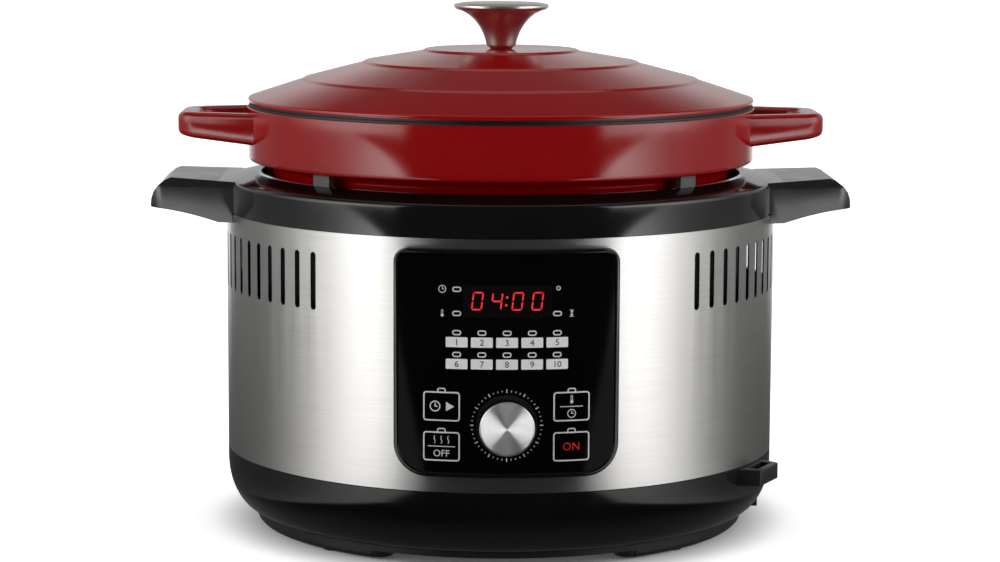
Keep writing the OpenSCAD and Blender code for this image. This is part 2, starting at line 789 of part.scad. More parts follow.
// Glossy top ring with the two hollow handles, screw bosses and band lip
module top_ring() {
    screw_under = handle_under(handle_screw_x);
    screw_top = handle_top(handle_screw_x);
    color("#0e0e0e") difference() {
        union() {
            rotate_extrude() polygon(concat(
                [[lip_out_r, ring_z - lip_h], [lip_out_r, ring_z], [ring_r, ring_z]],
                [for (t = [0 : 15 : 90 - slope])
                    [ring_r - ring_edge + ring_edge * cos(t), edge_z + ring_edge * sin(t)]],
                [[lip_edge_r, lip_z], [mouth_r, lip_z], [mouth_r, flange_z],
                    [mouth_r + shell_t, flange_z], [mouth_r + shell_t, ring_under(mouth_r + shell_t)],
                    [lip_in_r, ring_under(lip_in_r)], [lip_in_r, ring_z - lip_h]]
            ));
            for (a = ring_screw_angles) rotate([0, 0, a]) translate([ring_boss_r, 0, 0])
                bar(ring_boss_d, flange_z, ring_boss_z);
            for (side = [0, 180]) rotate([0, 0, side]) difference() {
                handle_block(0, 0);
                bar(2 * handle_cut_r, ring_z, ring_wall_z);
                bar(2 * handle_blend_r, ring_wall_z, lip_z + 5);
                bar(2 * (body_r + fit), handle_root_z - 5, ring_z);
                difference() {
                    handle_block(handle_wall, 5);
                    bar(2 * handle_hollow_r, handle_root_z - 20, lip_z);
                }
            }
            at_handle_screws() bar(handle_boss_d, screw_under + handle_cover_t + 1, screw_top - 1);
        }
        for (a = ring_screw_angles) rotate([0, 0, a]) translate([ring_boss_r, 0, 0])
            bar(small_screw_d, flange_z - 1, ring_boss_z - 1.5);
        at_handle_screws() bar(small_screw_d, screw_under, screw_top - handle_wall);
    }
}

// Cover under one base handle
module handle_cover() {
    inset = handle_wall + fit;
    screw_under = handle_under(handle_screw_x);
    half = handle_side(handle_start_x);
    difference() {
        intersection() {
            handle_block(inset, 0);
            rotate([90, 0, 0]) translate([0, 0, -half]) linear_extrude(2 * half)
                polygon(concat(handle_line(handle_end, handle_root_x, 0),
                    handle_line(handle_root_x, handle_end, handle_cover_t)));
        }
        bar(2 * (handle_hollow_r + fit), handle_root_z - 20, lip_z);
        for (y = [-1, 1]) translate([handle_screw_x, y * handle_screw_y, 0]) {
            bar(small_screw_d, handle_root_z - 5, handle_top(handle_end));
            bar(small_head_d + 2 * fit, handle_root_z - 5, screw_under + small_head_h / 2);
        }
    }
}

module handle_cover_left() {
    color("#1a1a1a") rotate([0, 0, 180]) handle_cover();
}

module handle_cover_right() {
    color("#1a1a1a") handle_cover();
}

module handle_screws() {
    seat = handle_under(handle_screw_x) + small_head_h / 2;
    tip = handle_top(handle_screw_x) - handle_wall - 1;
    color("#b8b8b8") at_handle_screws()
        screw_up(small_screw_d, small_head_d, small_head_h, seat, tip - seat);
}

// Soft pads on the ring's lip, under the pot's shoulder
module pot_rest_pads() {
    pad_angle = 5;
    color("#2c2c2c") for (a = quarter_angles) rotate([0, 0, a - pad_angle / 2])
        rotate_extrude(angle = pad_angle)
            translate([mouth_r + fit, lip_z]) square([ring_lip_w - 2 * fit, rest_gap - pot_clear]);
}

// Screw circle through the liner and shield flanges
module ring_screw_holes() {
    for (a = ring_screw_angles) rotate([0, 0, a]) translate([ring_boss_r, 0, 0])
        bar(small_screw_d, flange_z - 5, flange_z + 1);
}

// Aluminium cup round the pot
module inner_liner() {
    color("#a9adb0") difference() {
        union() {
            ring(liner_out_r, liner_in_r, floor_z, flange_z);
            ring(liner_out_r, sensor_d / 2 + 6, floor_z, floor_top_z);
            ring(flange_r, liner_in_r, flange_z - liner_t, flange_z);
        }
        ring_screw_holes();
        at_terminals() bar(element_d + 4, floor_z - 1, floor_top_z + 1);
    }
}

// Sheet sleeve that keeps the heat from the band and the boards
module heat_shield() {
    color("#7d8184") difference() {
        union() {
            ring(shield_out_r, shield_in_r, plate_low_z, flange_z - liner_t);
            ring(flange_r, shield_in_r, flange_z - 2 * liner_t, flange_z - liner_t);
        }
        ring_screw_holes();
    }
}

module ring_screws() {
    seat = flange_z - 2 * liner_t;
    color("#b8b8b8") for (a = ring_screw_angles) rotate([0, 0, a]) translate([ring_boss_r, 0, 0])
        screw_up(small_screw_d, small_head_d, small_head_h, seat, ring_boss_z - 2 - seat);
}

// Legs that carry the liner on the bottom cover
module support_legs() {
    color("#9a9a9a") for (a = leg_angles) rotate([0, 0, a]) translate([post_circle, 0, 0])
        difference() {
            bar(post_d, plinth_z, floor_z);
            bar(screw_d, plinth_z - 1, plinth_z + shell_boss_h - 1);
        }
}

// Cast heating plate with the groove of its element
module heating_plate() {
    color("#9d9fa1") difference() {
        ring(plate_d / 2, sensor_d / 2 + 1.5, plate_low_z, plate_z);
        rotate_extrude() translate([element_ring_d / 2, plate_low_z]) circle(d = element_d + 2 * fit);
    }
}

// The two ends of the element, at the back
module at_terminals() {
    for (side = [-1, 1]) rotate([0, 0, 90 + side * terminal_half_angle])
        translate([element_ring_d / 2, 0, 0]) children();
}

// Tubular element: an open ring with two ends that turn down
module heating_element() {
    color("#6b6b6b") {
        rotate([0, 0, 90 + terminal_half_angle]) rotate_extrude(angle = 360 - 2 * terminal_half_angle)
            translate([element_ring_d / 2, plate_low_z]) circle(d = element_d);
        at_terminals() {
            translate([0, 0, plate_low_z]) sphere(d = element_d);
            bar(element_d, terminal_z, plate_low_z);
        }
    }
}

module plate_posts() {
    color("#c8c8c8") for (a = leg_angles) rotate([0, 0, a]) translate([post_circle, 0, 0])
        bar(post_d, floor_top_z, plate_low_z);
}

// Flanged bush under the liner's floor that guides the sensor's stem
module sensor_guide() {
    color("#8d8d8d") difference() {
        union() {
            bar(sensor_d + 24, floor_z - sensor_guide_t, floor_z);
            bar(sensor_stem_d + 5, floor_z - sensor_guide_t, floor_top_z + 3);
        }
        bar(sensor_stem_d + 2 * run_fit, floor_z - sensor_guide_t - 1, floor_top_z + 4);
    }
}

// Cap and stem of the sensor that the pot presses down
module sensor_cap() {
    top = plate_z - pot_clear;
    color("#c2c4c6") difference() {
        union() {
            bar(sensor_d, top - sensor_t, top);
            bar(sensor_stem_d, sensor_low_z, top - sensor_t);
        }
        ring(sensor_stem_d, sensor_stem_d / 2 - 1.5, clip_z - run_fit, clip_z + clip_t + run_fit);
    }
}

module sensor_clip() {
    color("#b0b0b0") ring(sensor_stem_d / 2 + 3, sensor_stem_d / 2 - 1.5 + run_fit, clip_z, clip_z + clip_t);
}

// Coil spring between the guide and the sensor's cap
module sensor_spring() {
    low = floor_z + spring_wire_d / 2 + run_fit;
    high = plate_z - pot_clear - sensor_t - spring_wire_d / 2 - run_fit;
    steps = 20;
    total = spring_turns * steps;
    color("#c0c0c0") tube_along(
        [for (i = [0 : total])
            [spring_d / 2 * cos(360 * i / steps), spring_d / 2 * sin(360 * i / steps),
                low + (high - low) * i / total]],
        spring_wire_d / 2, [0, 0, 1], 6);
}

// Thermal cut-out on the underside of the liner's floor
module thermal_cutout() {
    block = [24, 9, 5];
    color("#d8d2c0") translate([-block[0] / 2, -sensor_d / 2 - 30, floor_z - block[2]]) cube(block);
}

// Supply board on four posts of the bottom cover
module power_board() {
    color("#2f5d3a") difference() {
        translate([supply_x - supply_w / 2, supply_y - supply_l / 2, supply_z])
            cube([supply_w, supply_l, board_t]);
        at_supply_posts() bar(small_screw_d, supply_z - 1, supply_z + board_t + 1);
    }
}

module at_supply_posts() {
    for (x = [-1, 1], y = [-1, 1])
        translate([supply_x + x * (supply_w / 2 - supply_post_in),
                supply_y + y * (supply_l / 2 - supply_post_in), 0])
            children();
}

// Relay, transformer, capacitors and lead terminals on the supply board
module power_components() {
    top = supply_z + board_t;
    color("#3a3a3a") {
        translate([relay_x, supply_y - relay[1] / 2, top]) cube(relay);
        translate([transformer_x, supply_y - transformer[1] / 2, top]) cube(transformer);
        for (side = [-1, 1]) translate([capacitor_x, supply_y + side * capacitor_y, 0])
            bar(capacitor_d, top, top + capacitor_h);
        for (side = [-1, 1])
            translate([terminal_x(side) - terminal[0] / 2, terminal_y - terminal[1] / 2, top]) cube(terminal);
    }
}

module board_screws() {
    color("#b8b8b8") at_supply_posts() translate([0, 0, supply_z + board_t]) rotate([180, 0, 0])
        screw_up(small_screw_d, small_head_d, small_head_h, 0, supply_z + board_t - plinth_z - 1);
}

// Appliance inlet with its face plate, body and two ears
module power_inlet() {
    low = plinth_z + shell_t;
    color("#101010") rotate([0, 0, inlet_angle]) difference() {
        union() {
            translate([inlet_x - inlet_plate_t, -inlet_w / 2, inlet_low_z])
                cube([inlet_plate_t, inlet_w, inlet_h]);
            translate([inlet_body_x, -inlet_body_w / 2, inlet_body_z])
                cube([inlet_x - inlet_plate_t - inlet_body_x, inlet_body_w, socket_h + 2 * inlet_wall]);
            for (side = [-1, 1]) translate([inlet_ear_x() - inlet_ear_w / 2,
                    side * inlet_ear_y() - inlet_ear_w / 2, low])
                cube([inlet_ear_w, inlet_ear_w, inlet_ear_t]);
        }
        translate([inlet_x - socket_depth, 0, inlet_mid_z]) rotate([90, 0, 90])
            linear_extrude(socket_depth + 1) socket_outline();
        at_pins() cube([60, pin_t + 2 * screw_play, pin_w + 2 * screw_play], center = true);
        for (side = [-1, 1]) translate([inlet_ear_x(), side * inlet_ear_y(), 0])
            bar(small_screw_d, low - 1, low + inlet_ear_t + 1);
    }
}

// Socket outline with two cut corners
module socket_outline() {
    cut = 4;
    w = socket_w / 2;
    h = socket_h / 2;
    polygon([[-w, -h], [w, -h], [w, h - cut], [w - cut, h], [-w + cut, h], [-w, h - cut]]);
}

// Three pins, the middle one raised
module at_pins() {
    for (i = [-1 : 1]) translate([inlet_x - socket_depth - 4, i * 7, inlet_mid_z + (i == 0 ? 2 : -2)])
        children();
}

module inlet_pins() {
    color("#c9b26a") rotate([0, 0, inlet_angle]) at_pins()
        translate([-6, -pin_t / 2, -pin_w / 2]) cube([socket_depth + 8, pin_t, pin_w]);
}

module inlet_screws() {
    low = plinth_z + shell_t + inlet_ear_t;
    color("#b8b8b8") rotate([0, 0, inlet_angle]) for (side = [-1, 1])
        translate([inlet_ear_x(), side * inlet_ear_y(), low]) rotate([180, 0, 0])
            screw_up(small_screw_d, small_head_d, small_head_h, 0, inlet_ear_t + shell_t - 0.5);
}

// Outline of the panel, shrunk by an inset
module panel_outline(inset) {
    translate([0, panel_mid_z]) round_plate(panel_w - 2 * inset, panel_h - 2 * inset,
        panel_top_r - inset, panel_low_r - inset);
}

// Bezel over the edge of the band's window, with a collar through it and a ledge for the face
module panel_bezel() {
    open = bezel_w;
    color("#101010") {
        curved(body_r + bezel_lift, bezel_r) difference() {
            panel_outline(0);
            panel_outline(open);
        }
        curved(face_in_r - ledge_t, body_r + bezel_lift) difference() {
            panel_outline(open - collar_t + fit);
            panel_outline(open);
        }
        curved(face_in_r - ledge_t, face_in_r - bezel_lift) difference() {
            panel_outline(open - collar_t + fit);
            panel_outline(open + ledge_w);
        }
    }
}

// Outline of a key, grown by a gap
module key_outline(grow) {
    round_plate(key_w + 2 * grow, key_h + 2 * grow, key_corner + grow, key_corner + grow);
}

// Outline of one indicator window
module lamp_outline(grow) {
    straight = lamp_w - lamp_h;
    square([straight, lamp_h + 2 * grow], center = true);
    for (side = [-1, 1]) translate([side * straight / 2, 0]) circle(d = lamp_h + 2 * grow);
}

// The four places where the control board is screwed to the face
module board_posts() {
    for (place = board_posts_at) translate([place[0], 0, place[1]]) rotate([90, 0, 0]) children();
}

// Curved face with its openings, dial seat and the posts that carry the control board
module panel_face() {
    color("#080808") difference() {
        union() {
            curved(face_in_r, face_r) panel_outline(bezel_w + fit / 2);
            intersection() {
                board_posts() translate([0, 0, board_y]) cylinder(d = board_post_d, h = 20);
                bar(2 * (face_in_r + 0.5), panel_z, panel_z + panel_h);
            }
        }
        for (side = [-1, 1], z = [key_low_z, key_high_z]) rotate([0, 0, side * key_turn])
            to_front(face_in_r - 20, face_r + 5) translate([0, z]) key_outline(key_gap);
        to_front(face_in_r - 10, face_r + 5) translate([0, display_z])
            square([display_w + 2 * lamp_fit, display_h + 2 * lamp_fit], center = true);
        for (lamp = lamps) to_front(face_in_r - 20, face_r + 5) translate(lamp) lamp_outline(lamp_fit);
        translate([0, 0, dial_z]) rotate([90, 0, 0]) {
            translate([0, 0, dial_seat_y]) cylinder(d = dial_skirt_d + 2, h = 10);
            translate([0, 0, board_y]) cylinder(d = shaft_d + 2 * shaft_hole_play, h = 30);
        }
        board_posts() translate([0, 0, board_y - 1]) cylinder(d = small_screw_d, h = 7);
    }
}

module display_window() {
    color("#1a0506") curved(face_in_r, face_r) translate([0, display_z])
        square([display_w, display_h], center = true);
}

// Clear bars from the lamps on the control board to the panel's surface
module light_guides() {
    color("#d8d8d8") for (lamp = lamps) intersection() {
        to_front(board_y, face_r + 5) translate(lamp) lamp_outline(0);
        bar(2 * face_r, panel_z, panel_z + panel_h);
    }
}

module control_board() {
    color("#2f5d3a") difference() {
        translate([-board_w / 2, -board_y, board_low_z]) cube([board_w, board_t, board_h]);
        board_posts() translate([0, 0, board_y - board_t - 1]) cylinder(d = small_screw_d, h = board_t + 2);
    }
}

module control_screws() {
    color("#b8b8b8") board_posts()
        screw_up(small_screw_d, small_head_d, small_head_h, board_y - board_t, board_t + 4.5);
}

// Four-digit display block behind the window
module display_module() {
    depth = 8;
    color("#303030") translate([-display_w / 2 + 2, -board_y - depth, display_z - display_h / 2 + 1])
        cube([display_w - 4, depth, display_h - 2]);
}

// Push switches behind the keys, each clear of its key at full travel
module key_switches() {
    color("#505050") for (side = [-1, 1], z = [key_low_z, key_high_z])
        translate([side * switch_x, -board_y, z]) rotate([90, 0, 0]) {
            translate([-switch_w / 2, -switch_w / 2, 0]) cube([switch_w, switch_w, switch_h]);
            cylinder(d = plunger_d, h = plunger_h);
        }
}

// One key: a curved cap with a stem towards its switch
module key(side, z) {
    stem_end = switch_reach + key_gap + key_travel;
    color("#0b0b0b") rotate([0, 0, side * key_turn]) {
        curved(face_in_r, face_r) translate([0, z]) key_outline(0);
        intersection() {
            translate([0, 0, z]) rotate([90, 0, 0]) translate([0, 0, stem_end])
                cylinder(d = key_stem_d, h = face_r - stem_end - 1);
            bar(2 * (face_in_r + 0.5), panel_z, panel_z + panel_h);
        }
    }
}

module key_upper_left() {
    key(-1, key_high_z);
}

module key_lower_left() {
    key(-1, key_low_z);
}

module key_upper_right() {
    key(1, key_high_z);
}

module key_lower_right() {
    key(1, key_low_z);
}

// Rotary encoder on the control board, with a bush for the dial's shaft
module encoder_body() {
    color("#9c9c9c") translate([0, 0, dial_z]) rotate([90, 0, 0]) difference() {
        union() {
            translate([-encoder_w / 2, -encoder_w / 2, board_y])
                cube([encoder_w, encoder_w, encoder_y - board_y]);
            translate([0, 0, encoder_y]) cylinder(d = bush_d, h = bush_l);
        }
        translate([0, 0, encoder_y - shaft_in])
            cylinder(d = shaft_d + 2 * run_fit, h = bush_l + shaft_in + 1);
    }
}

module dial_shaft() {
    core_end = dial_cap_y - 3;
    color("#c0c0c0") translate([0, 0, dial_z]) rotate([90, 0, 0])
        translate([0, 0, encoder_y - shaft_in + fit])
            cylinder(d = shaft_d, h = core_end - encoder_y + shaft_in - fit);
}

// Dark skirt and core of the dial, on the shaft
module dial_skirt() {
    color("#101010") translate([0, 0, dial_z]) rotate([90, 0, 0]) difference() {
        union() {
            translate([0, 0, dial_seat_y + dial_gap]) cylinder(d = dial_skirt_d, h = dial_skirt_t);
            translate([0, 0, dial_seat_y + dial_gap + dial_skirt_t])
                cylinder(d = dial_d - 3, h = dial_cap_y - 1.5 - dial_seat_y - dial_gap - dial_skirt_t);
        }
        translate([0, 0, dial_seat_y]) cylinder(d = shaft_d, h = dial_cap_y - 3 - dial_seat_y);
    }
}

// Spun metal cap of the dial with its pointer slot
module dial_cap() {
    low = dial_seat_y + dial_gap + dial_skirt_t;
    chamfer = 0.8;
    color("#d6d6d6") translate([0, 0, dial_z]) rotate([90, 0, 0]) difference() {
        union() {
            translate([0, 0, low]) cylinder(d = dial_d, h = dial_cap_y - chamfer - low);
            translate([0, 0, dial_cap_y - chamfer])
                cylinder(d1 = dial_d, d2 = dial_d - 2 * chamfer, h = chamfer);
        }
        translate([0, 0, low - 1]) cylinder(d = dial_d - 3, h = dial_cap_y - 1.5 - low + 1);
        translate([-pointer_w / 2, dial_d / 2 - pointer_in - pointer_l, dial_cap_y - pointer_depth])
            cube([pointer_w, pointer_l, pointer_depth + 1]);
    }
}

// Flat ribbon from the control board down to the supply board
module ribbon_cable() {
    w = 14;
    t = 1.2;
    y0 = -board_y + board_t;
    y1 = supply_y - supply_l / 2;
    tab = 8;
    z0 = board_low_z + 4;
    z1 = supply_z + board_t;
    bend = [-shell_flange_r + tab, z1 + 5];
    color("#b9b9b4") translate([supply_x + 6, 0, 0]) rotate([90, 0, 90]) linear_extrude(w)
        polygon([[y0, z0 + tab], [y0 + t, z0 + tab], [y0 + t, z0], bend, [y1 + 6, z1 + t], [y1 + 6, z1],
            [y1 - 1, z1], bend - [0, 1.6 * t], [y0, z0 - t]]);
}

// Leads from the element's ends to the supply board's terminals
module heater_leads() {
    top = supply_z + board_t + terminal[2];
    color("#c9c2a8") for (side = [-1, 1]) {
        angle = 90 + side * terminal_half_angle;
        from = [element_ring_d / 2 * cos(angle), element_ring_d / 2 * sin(angle), terminal_z];
        to = [terminal_x(-side), terminal_y, top];
        a = from - [0, 0, lead_stub];
        b = to + [0, 0, lead_stub];
        bow = [0, 0, lead_bow];
        tube_along(concat([from], [for (i = [0 : 12]) bezier(a, a - bow, b + bow, b, i / 12)], [to]),
            lead_d / 2, [0, 1, 0]);
    }
}

// Outline of a loop handle seen from above: sides that close towards a round-cornered end
function loop_outline(end, half, corner, root_half, root_x) =
    let (
        lean = atan2(root_half - half, end - root_x),
        turn = (90 - lean) / 5,
        x = end - corner,
        y = half + corner * tan(lean) - corner / cos(lean)
    )
    concat(
        [[root_x, -root_half]],
        [for (i = [-5 : 0]) [x + corner * cos(i * turn), -y + corner * sin(i * turn)]],
        [for (i = [0 : 5]) [x + corner * cos(i * turn), y + corner * sin(i * turn)]],
        [[root_x, root_half]]
    );

// One loop handle of the pot, on the right
module pot_loop() {
    end = loop_span / 2;
    root_x = pot_r - pot_wall / 2 - 10;
    top = rim_z - loop_drop;
    edge = 4;
    lean = atan2(loop_root_half - loop_half, end - root_x);
    in_half = loop_half + loop_bar * tan(lean) - loop_bar / cos(lean);
    in_root_half = loop_root_half + tan(lean) - loop_bar / cos(lean);
    difference() {
        intersection() {
            translate([0, 0, top - 30]) linear_extrude(40) difference() {
                polygon(loop_outline(end, loop_half, loop_corner, loop_root_half, root_x));
                polygon(loop_outline(end - loop_bar, in_half, loop_corner - loop_bar / 2, in_root_half,
                    root_x - 1));
            }
            rotate([90, 0, 0]) translate([0, 0, -60]) linear_extrude(120)
                polygon([[root_x, top], [end - edge, top], [end, top - edge],
                    [end, top - loop_end_h + edge], [end - edge, top - loop_end_h],
                    [pot_r, top - loop_root_h], [root_x, top - loop_root_h]]);
        }
        bar(2 * (pot_r - pot_wall / 2), top - 30, top + 10);
    }
}

// Cast pot: a narrow lower part that hangs in the well and a wide upper wall with loops
module pot() {
    in_r = pot_r - pot_wall;
    low_in_r = pot_low_r - pot_wall;
    fillet = 4;
    foot_in = pot_foot_r - pot_wall;
    color("#8e1418") union() {
        rotate_extrude() polygon(concat(
            [[0, pot_z]],
            [for (t = [-90 : 15 : 0])
                [pot_low_r - pot_foot_r + pot_foot_r * cos(t), pot_z + pot_foot_r + pot_foot_r * sin(t)]],
            [for (t = [180 : -15 : 90])
                [pot_low_r + fillet + fillet * cos(t), shoulder_z - fillet + fillet * sin(t)]],
            [for (t = [-90 : 15 : 0])
                [pot_r - pot_shoulder_r + pot_shoulder_r * cos(t),
                    shoulder_z + pot_shoulder_r + pot_shoulder_r * sin(t)]],
            [[pot_r, rim_z - rim_h], [pot_r - rim_step, rim_z - rim_h], [pot_r - rim_step, rim_z],
                [in_r, rim_z]],
            [for (t = [0 : -15 : -90])
                [in_r - fillet + fillet * cos(t), shoulder_z + pot_wall + fillet + fillet * sin(t)]],
            [for (t = [90 : 15 : 180])
                [low_in_r + fillet + fillet * cos(t), shoulder_z + pot_wall - fillet + fillet * sin(t)]],
            [for (t = [0 : -15 : -90])
                [low_in_r - foot_in + foot_in * cos(t), pot_z + pot_floor + foot_in + foot_in * sin(t)]],
            [[0, pot_z + pot_floor]]
        ));
        for (side = [0, 180]) rotate([0, 0, side]) pot_loop();
    }
}

// Cast lid with three terraces and a locating lip
module lid() {
    edge_r = pot_r - lid_back;
    lip_r = pot_r - pot_wall - 1;
    color("#9a161a") difference() {
        rotate_extrude() polygon([
            [0, plateau_z], [step_r3 - step_w, plateau_z], [step_r3, plateau_z - step_h],
            [step_r2 - step_w, terrace_3_z], [step_r2, terrace_3_z - step_h],
            [step_r1 - step_w, terrace_2_z], [step_r1, terrace_2_z - step_h],
            [edge_r - 1, lid_edge_z + 0.6], [edge_r, lid_edge_z - 0.4], [edge_r, rim_z + rim_h],
            [edge_r - rim_step, rim_z + rim_h], [edge_r - rim_step, rim_z], [lip_r, rim_z],
            [lip_r, rim_z - lid_lip_h], [lip_r - lid_t, rim_z - lid_lip_h],
            [lip_r - lid_t, rim_z], [step_r1 - lid_t, terrace_2_z - step_h - lid_t],
            [step_r2 - lid_t, terrace_3_z - step_h - lid_t], [step_r3 - lid_t, plateau_z - step_h - lid_t],
            [0, plateau_z - lid_t - step_h]
        ]);
        bar(knob_screw_d + 2 * fit, plateau_z - lid_t - step_h - 1, plateau_z + 1);
    }
}

// Flared knob with a blind screw hole
module lid_knob() {
    stem_r = knob_stem_d / 2;
    rim_low = knob_h - knob_rim;
    flare_r = knob_d / 2 - 1.5 - stem_r;
    swell = 1.2;
    color("#b5aca6") translate([0, 0, plateau_z]) difference() {
        rotate_extrude() polygon(concat(
            [[0, 0], [knob_seat_d / 2, 0], [stem_r, 1.6]],
            [for (t = [10 : 8 : 90])
                [stem_r + flare_r * (1 - pow(cos(t), swell)), rim_low * pow(sin(t), swell)]],
            [[knob_d / 2, rim_low + 1.2], [knob_d / 2, knob_h - 1.4], [knob_d / 2 - 1.4, knob_h - 0.3],
                [knob_d / 2 - 5, knob_h], [0, knob_h]]
        ));
        bar(knob_screw_d, -1, knob_h / 2);
    }
}

module knob_washer() {
    top = plateau_z - lid_t - step_h;
    color("#b8b8b8") ring(knob_screw_d * 1.2, knob_screw_d / 2 + fit, top - 1.2, top);
}

module knob_screw() {
    seat = plateau_z - lid_t - step_h - 1.2;
    color("#b8b8b8") screw_up(knob_screw_d, knob_screw_d * 1.9, 3, seat, plateau_z + knob_h / 2 - 1 - seat);
}

bottom_cover();
rubber_pads();
bottom_screws();
lower_shell();
side_loop();
steel_band();
top_ring();
handle_cover_left();
handle_cover_right();
handle_screws();
pot_rest_pads();
inner_liner();
heat_shield();
ring_screws();
support_legs();
heating_plate();
heating_element();
plate_posts();
sensor_guide();
sensor_spring();
thermal_cutout();
power_board();
power_components();
board_screws();
power_inlet();
inlet_pins();
inlet_screws();
panel_bezel();
panel_face();
display_window();
light_guides();
control_board();
control_screws();
display_module();
key_switches();
encoder_body();
ribbon_cable();
heater_leads();
dial_skirt();
dial_cap();
dial_shaft();
key_upper_left();
key_lower_left();
key_upper_right();
key_lower_right();
pot();
lid();
lid_knob();
knob_screw();
knob_washer();
sensor_cap();
sensor_clip();
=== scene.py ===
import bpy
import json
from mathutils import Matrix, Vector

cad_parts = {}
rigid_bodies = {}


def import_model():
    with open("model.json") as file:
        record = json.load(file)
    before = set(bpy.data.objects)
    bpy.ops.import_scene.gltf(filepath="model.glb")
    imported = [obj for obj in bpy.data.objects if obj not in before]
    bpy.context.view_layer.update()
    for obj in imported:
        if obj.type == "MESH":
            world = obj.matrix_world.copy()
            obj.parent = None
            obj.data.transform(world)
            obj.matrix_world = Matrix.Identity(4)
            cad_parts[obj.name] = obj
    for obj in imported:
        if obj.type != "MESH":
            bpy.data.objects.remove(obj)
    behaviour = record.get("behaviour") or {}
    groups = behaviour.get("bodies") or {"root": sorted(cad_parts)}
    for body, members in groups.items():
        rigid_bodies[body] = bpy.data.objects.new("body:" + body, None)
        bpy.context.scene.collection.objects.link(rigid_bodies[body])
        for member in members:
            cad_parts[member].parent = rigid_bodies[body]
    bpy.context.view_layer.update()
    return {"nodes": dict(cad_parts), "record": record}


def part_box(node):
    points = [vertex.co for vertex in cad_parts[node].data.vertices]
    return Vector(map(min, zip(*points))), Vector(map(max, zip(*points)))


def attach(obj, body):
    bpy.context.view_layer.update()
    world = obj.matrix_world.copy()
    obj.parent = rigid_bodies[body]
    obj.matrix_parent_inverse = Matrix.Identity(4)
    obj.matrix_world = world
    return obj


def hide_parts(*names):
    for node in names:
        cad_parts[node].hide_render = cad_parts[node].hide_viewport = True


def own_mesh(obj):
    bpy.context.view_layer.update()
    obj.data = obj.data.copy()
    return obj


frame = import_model()

import json
import math

import bmesh
import bpy
from mathutils import Matrix, Vector

# The multicooker's finished look. Z is up from the tabletop, the panel faces -Y and Z is the body's axis.
# Sizes are in metres; those that the frame holds are taken from it, and the rest are written in millimetres.
MM = 0.001

# Sizes from the frame
BAND_LOW, BAND_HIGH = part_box("steel_band")
BODY_R = BAND_HIGH.x
BAND_Z = BAND_LOW.z
RING_Z = BAND_HIGH.z
RING_LOW, RING_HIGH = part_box("top_ring")
RING_R = RING_HIGH.y
HANDLE_END = RING_HIGH.x
LIP_Z = RING_HIGH.z
POT_LOW, POT_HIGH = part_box("pot")
POT_R = POT_HIGH.y
POT_Z = POT_LOW.z
RIM_Z = POT_HIGH.z
LOOP_END = POT_HIGH.x
LID_LOW, LID_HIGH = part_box("lid")
LID_R = LID_HIGH.x
PLATEAU_Z = LID_HIGH.z
KNOB_LOW, KNOB_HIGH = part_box("lid_knob")
KNOB_R = KNOB_HIGH.x
SHELL_LOW, SHELL_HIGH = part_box("lower_shell")
PLINTH_Z = SHELL_LOW.z
PLINTH_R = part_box("bottom_cover")[1].x
BEZEL_LOW, BEZEL_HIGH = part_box("panel_bezel")
BEZEL_R = -BEZEL_LOW.y
PANEL_W = 2 * BEZEL_HIGH.x
PANEL_Z = BEZEL_LOW.z
PANEL_H = BEZEL_HIGH.z - BEZEL_LOW.z
FACE_R = -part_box("panel_face")[0].y
DIAL_LOW, DIAL_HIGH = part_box("dial_cap")
DIAL_R = DIAL_HIGH.x
DIAL_Z = (DIAL_LOW.z + DIAL_HIGH.z) / 2
DISPLAY_LOW, DISPLAY_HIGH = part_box("display_window")
DISPLAY_Z = (DISPLAY_LOW.z + DISPLAY_HIGH.z) / 2

# Sizes that many pieces share: points this close are one, a test clears a face by a hair, and two edge radii
WELD = 0.002 * MM
HAIR = 0.05 * MM
FINE_EDGE = 0.4 * MM
SOFT_EDGE = 0.8 * MM

# Sizes of the pot and the lid
POT_LOW_R = 120.5 * MM
POT_WALL = 4.5 * MM
POT_FLOOR = 5 * MM
POT_FOOT_CORNER = 12 * MM
POT_FLOOR_CORNER = 7.5 * MM
SHOULDER_Z = RIM_Z - 29.4 * MM
SHOULDER_CORNER = 4 * MM
SHOULDER_EDGE = 2.4 * MM
RIM_H = 1.2 * MM
RIM_STEP = 0.8 * MM
LOOP_HALF = 22.6 * MM
LOOP_LEAN = math.radians(18.9)
LOOP_BAR = 10.7 * MM
LOOP_CORNER = 13 * MM
LOOP_EDGE = 3.4 * MM
LOOP_TOP_Z = RIM_Z - 3.7 * MM
LOOP_END_H = 12.5 * MM
LOOP_ROOT_H = 16.7 * MM
LID_T = 4 * MM
LID_EDGE_H = 2.1 * MM
STEP_H = 1.2 * MM
STEP_W = 2 * MM
STEP_CORNER = 1.6 * MM
STEPS = [(42 * MM, 0.0), (74 * MM, 6.3 * MM), (105.5 * MM, 15.1 * MM)]

# Sizes of the base. The handle's end is rounded through points that are so far in from its end and its top.
RING_WALL_Z = LIP_Z - 3.8 * MM
RING_LIP_R = 130 * MM
MOUTH_R = 126.5 * MM
RING_SLOPE = (LIP_Z - RING_WALL_Z) / (RING_R - RING_LIP_R)
MOULDING_LIP_R = BODY_R - 2 * MM
MOULDING_LIP_T = 2 * MM
HANDLE_HALF = 31 * MM
HANDLE_TAPER = math.radians(11.6)
HANDLE_CORNER = 8 * MM
HANDLE_TOP_Z = RING_WALL_Z + 0.7 * MM
HANDLE_RISE = 1.9 * MM
HANDLE_END_H = 16.3 * MM
HANDLE_FALL = 6.9 * MM
HANDLE_SWEEP = 1.6
HANDLE_FLANK = 5.2 * MM
HANDLE_FLANK_LEAN = 0.6
HANDLE_ROUND = [(13 * MM, 0.0), (8.5 * MM, 1.6 * MM), (4.6 * MM, 4.7 * MM), (2.1 * MM, 7.9 * MM),
                (0.7 * MM, 11.6 * MM), (0.0, 15.5 * MM)]
